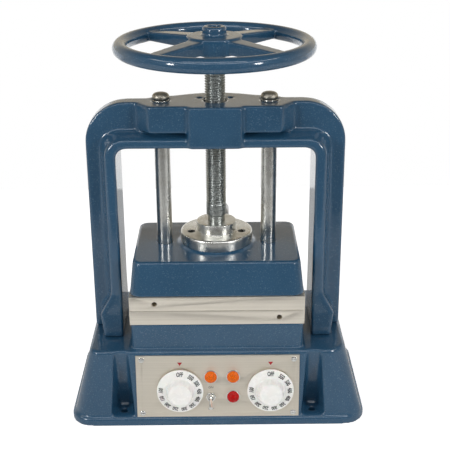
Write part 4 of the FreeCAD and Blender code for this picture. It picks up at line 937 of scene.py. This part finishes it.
lampSize = {
    "softLeft": {"place": (-1.25, -1.15, 0.78), "wide": 0.2, "tall": 0.5, "power": 9.5},
    "softRight": {"place": (1.25, -1.15, 0.78), "wide": 0.2, "tall": 0.5, "power": 9.0},
    "overhead": {"place": (0.0, -0.75, 1.75), "wide": 1.5, "tall": 0.22, "power": 4.5},
}
lampAim = Vector((0, 0, 0.2))


def lights():
    for name, size in lampSize.items():
        data = bpy.data.lights.new(name, "AREA")
        data.shape = "RECTANGLE"
        data.size = size["wide"]
        data.size_y = size["tall"]
        data.energy = size["power"]
        lamp = bpy.data.objects.new(name, data)
        lamp.location = size["place"]
        lamp.rotation_euler = (lampAim - lamp.location).to_track_quat("-Z", "Y").to_euler()
        scene.collection.objects.link(lamp)
    print("lights", len(lampSize))


roomLook = {
    "fill": 0.6, "fillLow": 0.52, "fillHigh": 0.30, "front": 0.22, "rear": 0.70, "rearFrom": -0.4,
    "rearTo": 0.4, "rearColour": (1.0, 0.88, 0.68), "above": 0.14, "aboveFrom": 0.25, "aboveTo": 0.7,
    "strip": 5.0, "stripLow": 0.60, "stripHigh": 0.68, "stripSide": 0.85}


# White background for the camera; reflections see a dim room with a warm rear wall and a strip light
def room():
    look = roomLook
    world = bpy.data.worlds.new("studio")
    scene.world = world
    world.use_nodes = True
    tree = world.node_tree
    tree.nodes.clear()
    ray = addNode(tree, "ShaderNodeTexCoord").outputs["Generated"]
    x, y, z = addNode(tree, "ShaderNodeSeparateXYZ", Vector=ray).outputs
    rear = between(tree, y, 0.0, 1.0, look["rearFrom"], look["rearTo"])
    level = addNode(tree, "ShaderNodeMix", n0=rear, n2=look["front"], n3=look["rear"]).outputs[0]
    high = between(tree, z, 0.0, 1.0, look["aboveFrom"], look["aboveTo"])
    walls = addNode(tree, "ShaderNodeMix", n0=high, n2=level, n3=look["above"]).outputs[0]
    band = math2(tree, "MULTIPLY", math2(tree, "GREATER_THAN", z, look["stripLow"]),
                 math2(tree, "LESS_THAN", z, look["stripHigh"]))
    inFront = math2(tree, "MULTIPLY", math2(tree, "LESS_THAN", y, 0.0),
                    math2(tree, "LESS_THAN", math2(tree, "ABSOLUTE", x), look["stripSide"]))
    strip = math2(tree, "MULTIPLY", math2(tree, "MULTIPLY", band, inFront), look["strip"])
    seen = math2(tree, "ADD", walls, strip)
    fill = between(tree, z, look["fillLow"], look["fillHigh"], 0.0, look["fill"])
    path = addNode(tree, "ShaderNodeLightPath")
    gloss = path.outputs["Is Glossy Ray"]
    glossy = addNode(tree, "ShaderNodeMix", n0=gloss, n2=fill, n3=seen).outputs[0]
    clear = math2(tree, "MAXIMUM", path.outputs["Is Camera Ray"], path.outputs["Is Transmission Ray"])
    strength = addNode(tree, "ShaderNodeMix", n0=clear, n2=glossy, n3=1.0).outputs[0]
    warm = math2(tree, "MULTIPLY", rear, gloss)
    tint = twoColours(tree, warm, (1, 1, 1), look["rearColour"])
    shade = addNode(tree, "ShaderNodeBackground", Color=tint, Strength=strength)
    out = addNode(tree, "ShaderNodeOutputWorld")
    tree.links.new(shade.outputs[0], out.inputs["Surface"])
    print("room and background")


makeMaterials()
castPieces()
flange()
rodsAndCaps()
spindle()
dials()
panelMarks()
screws()
machinedPieces()
floor()
camera()
lights()
room()
scene.view_settings.view_transform = "Standard"
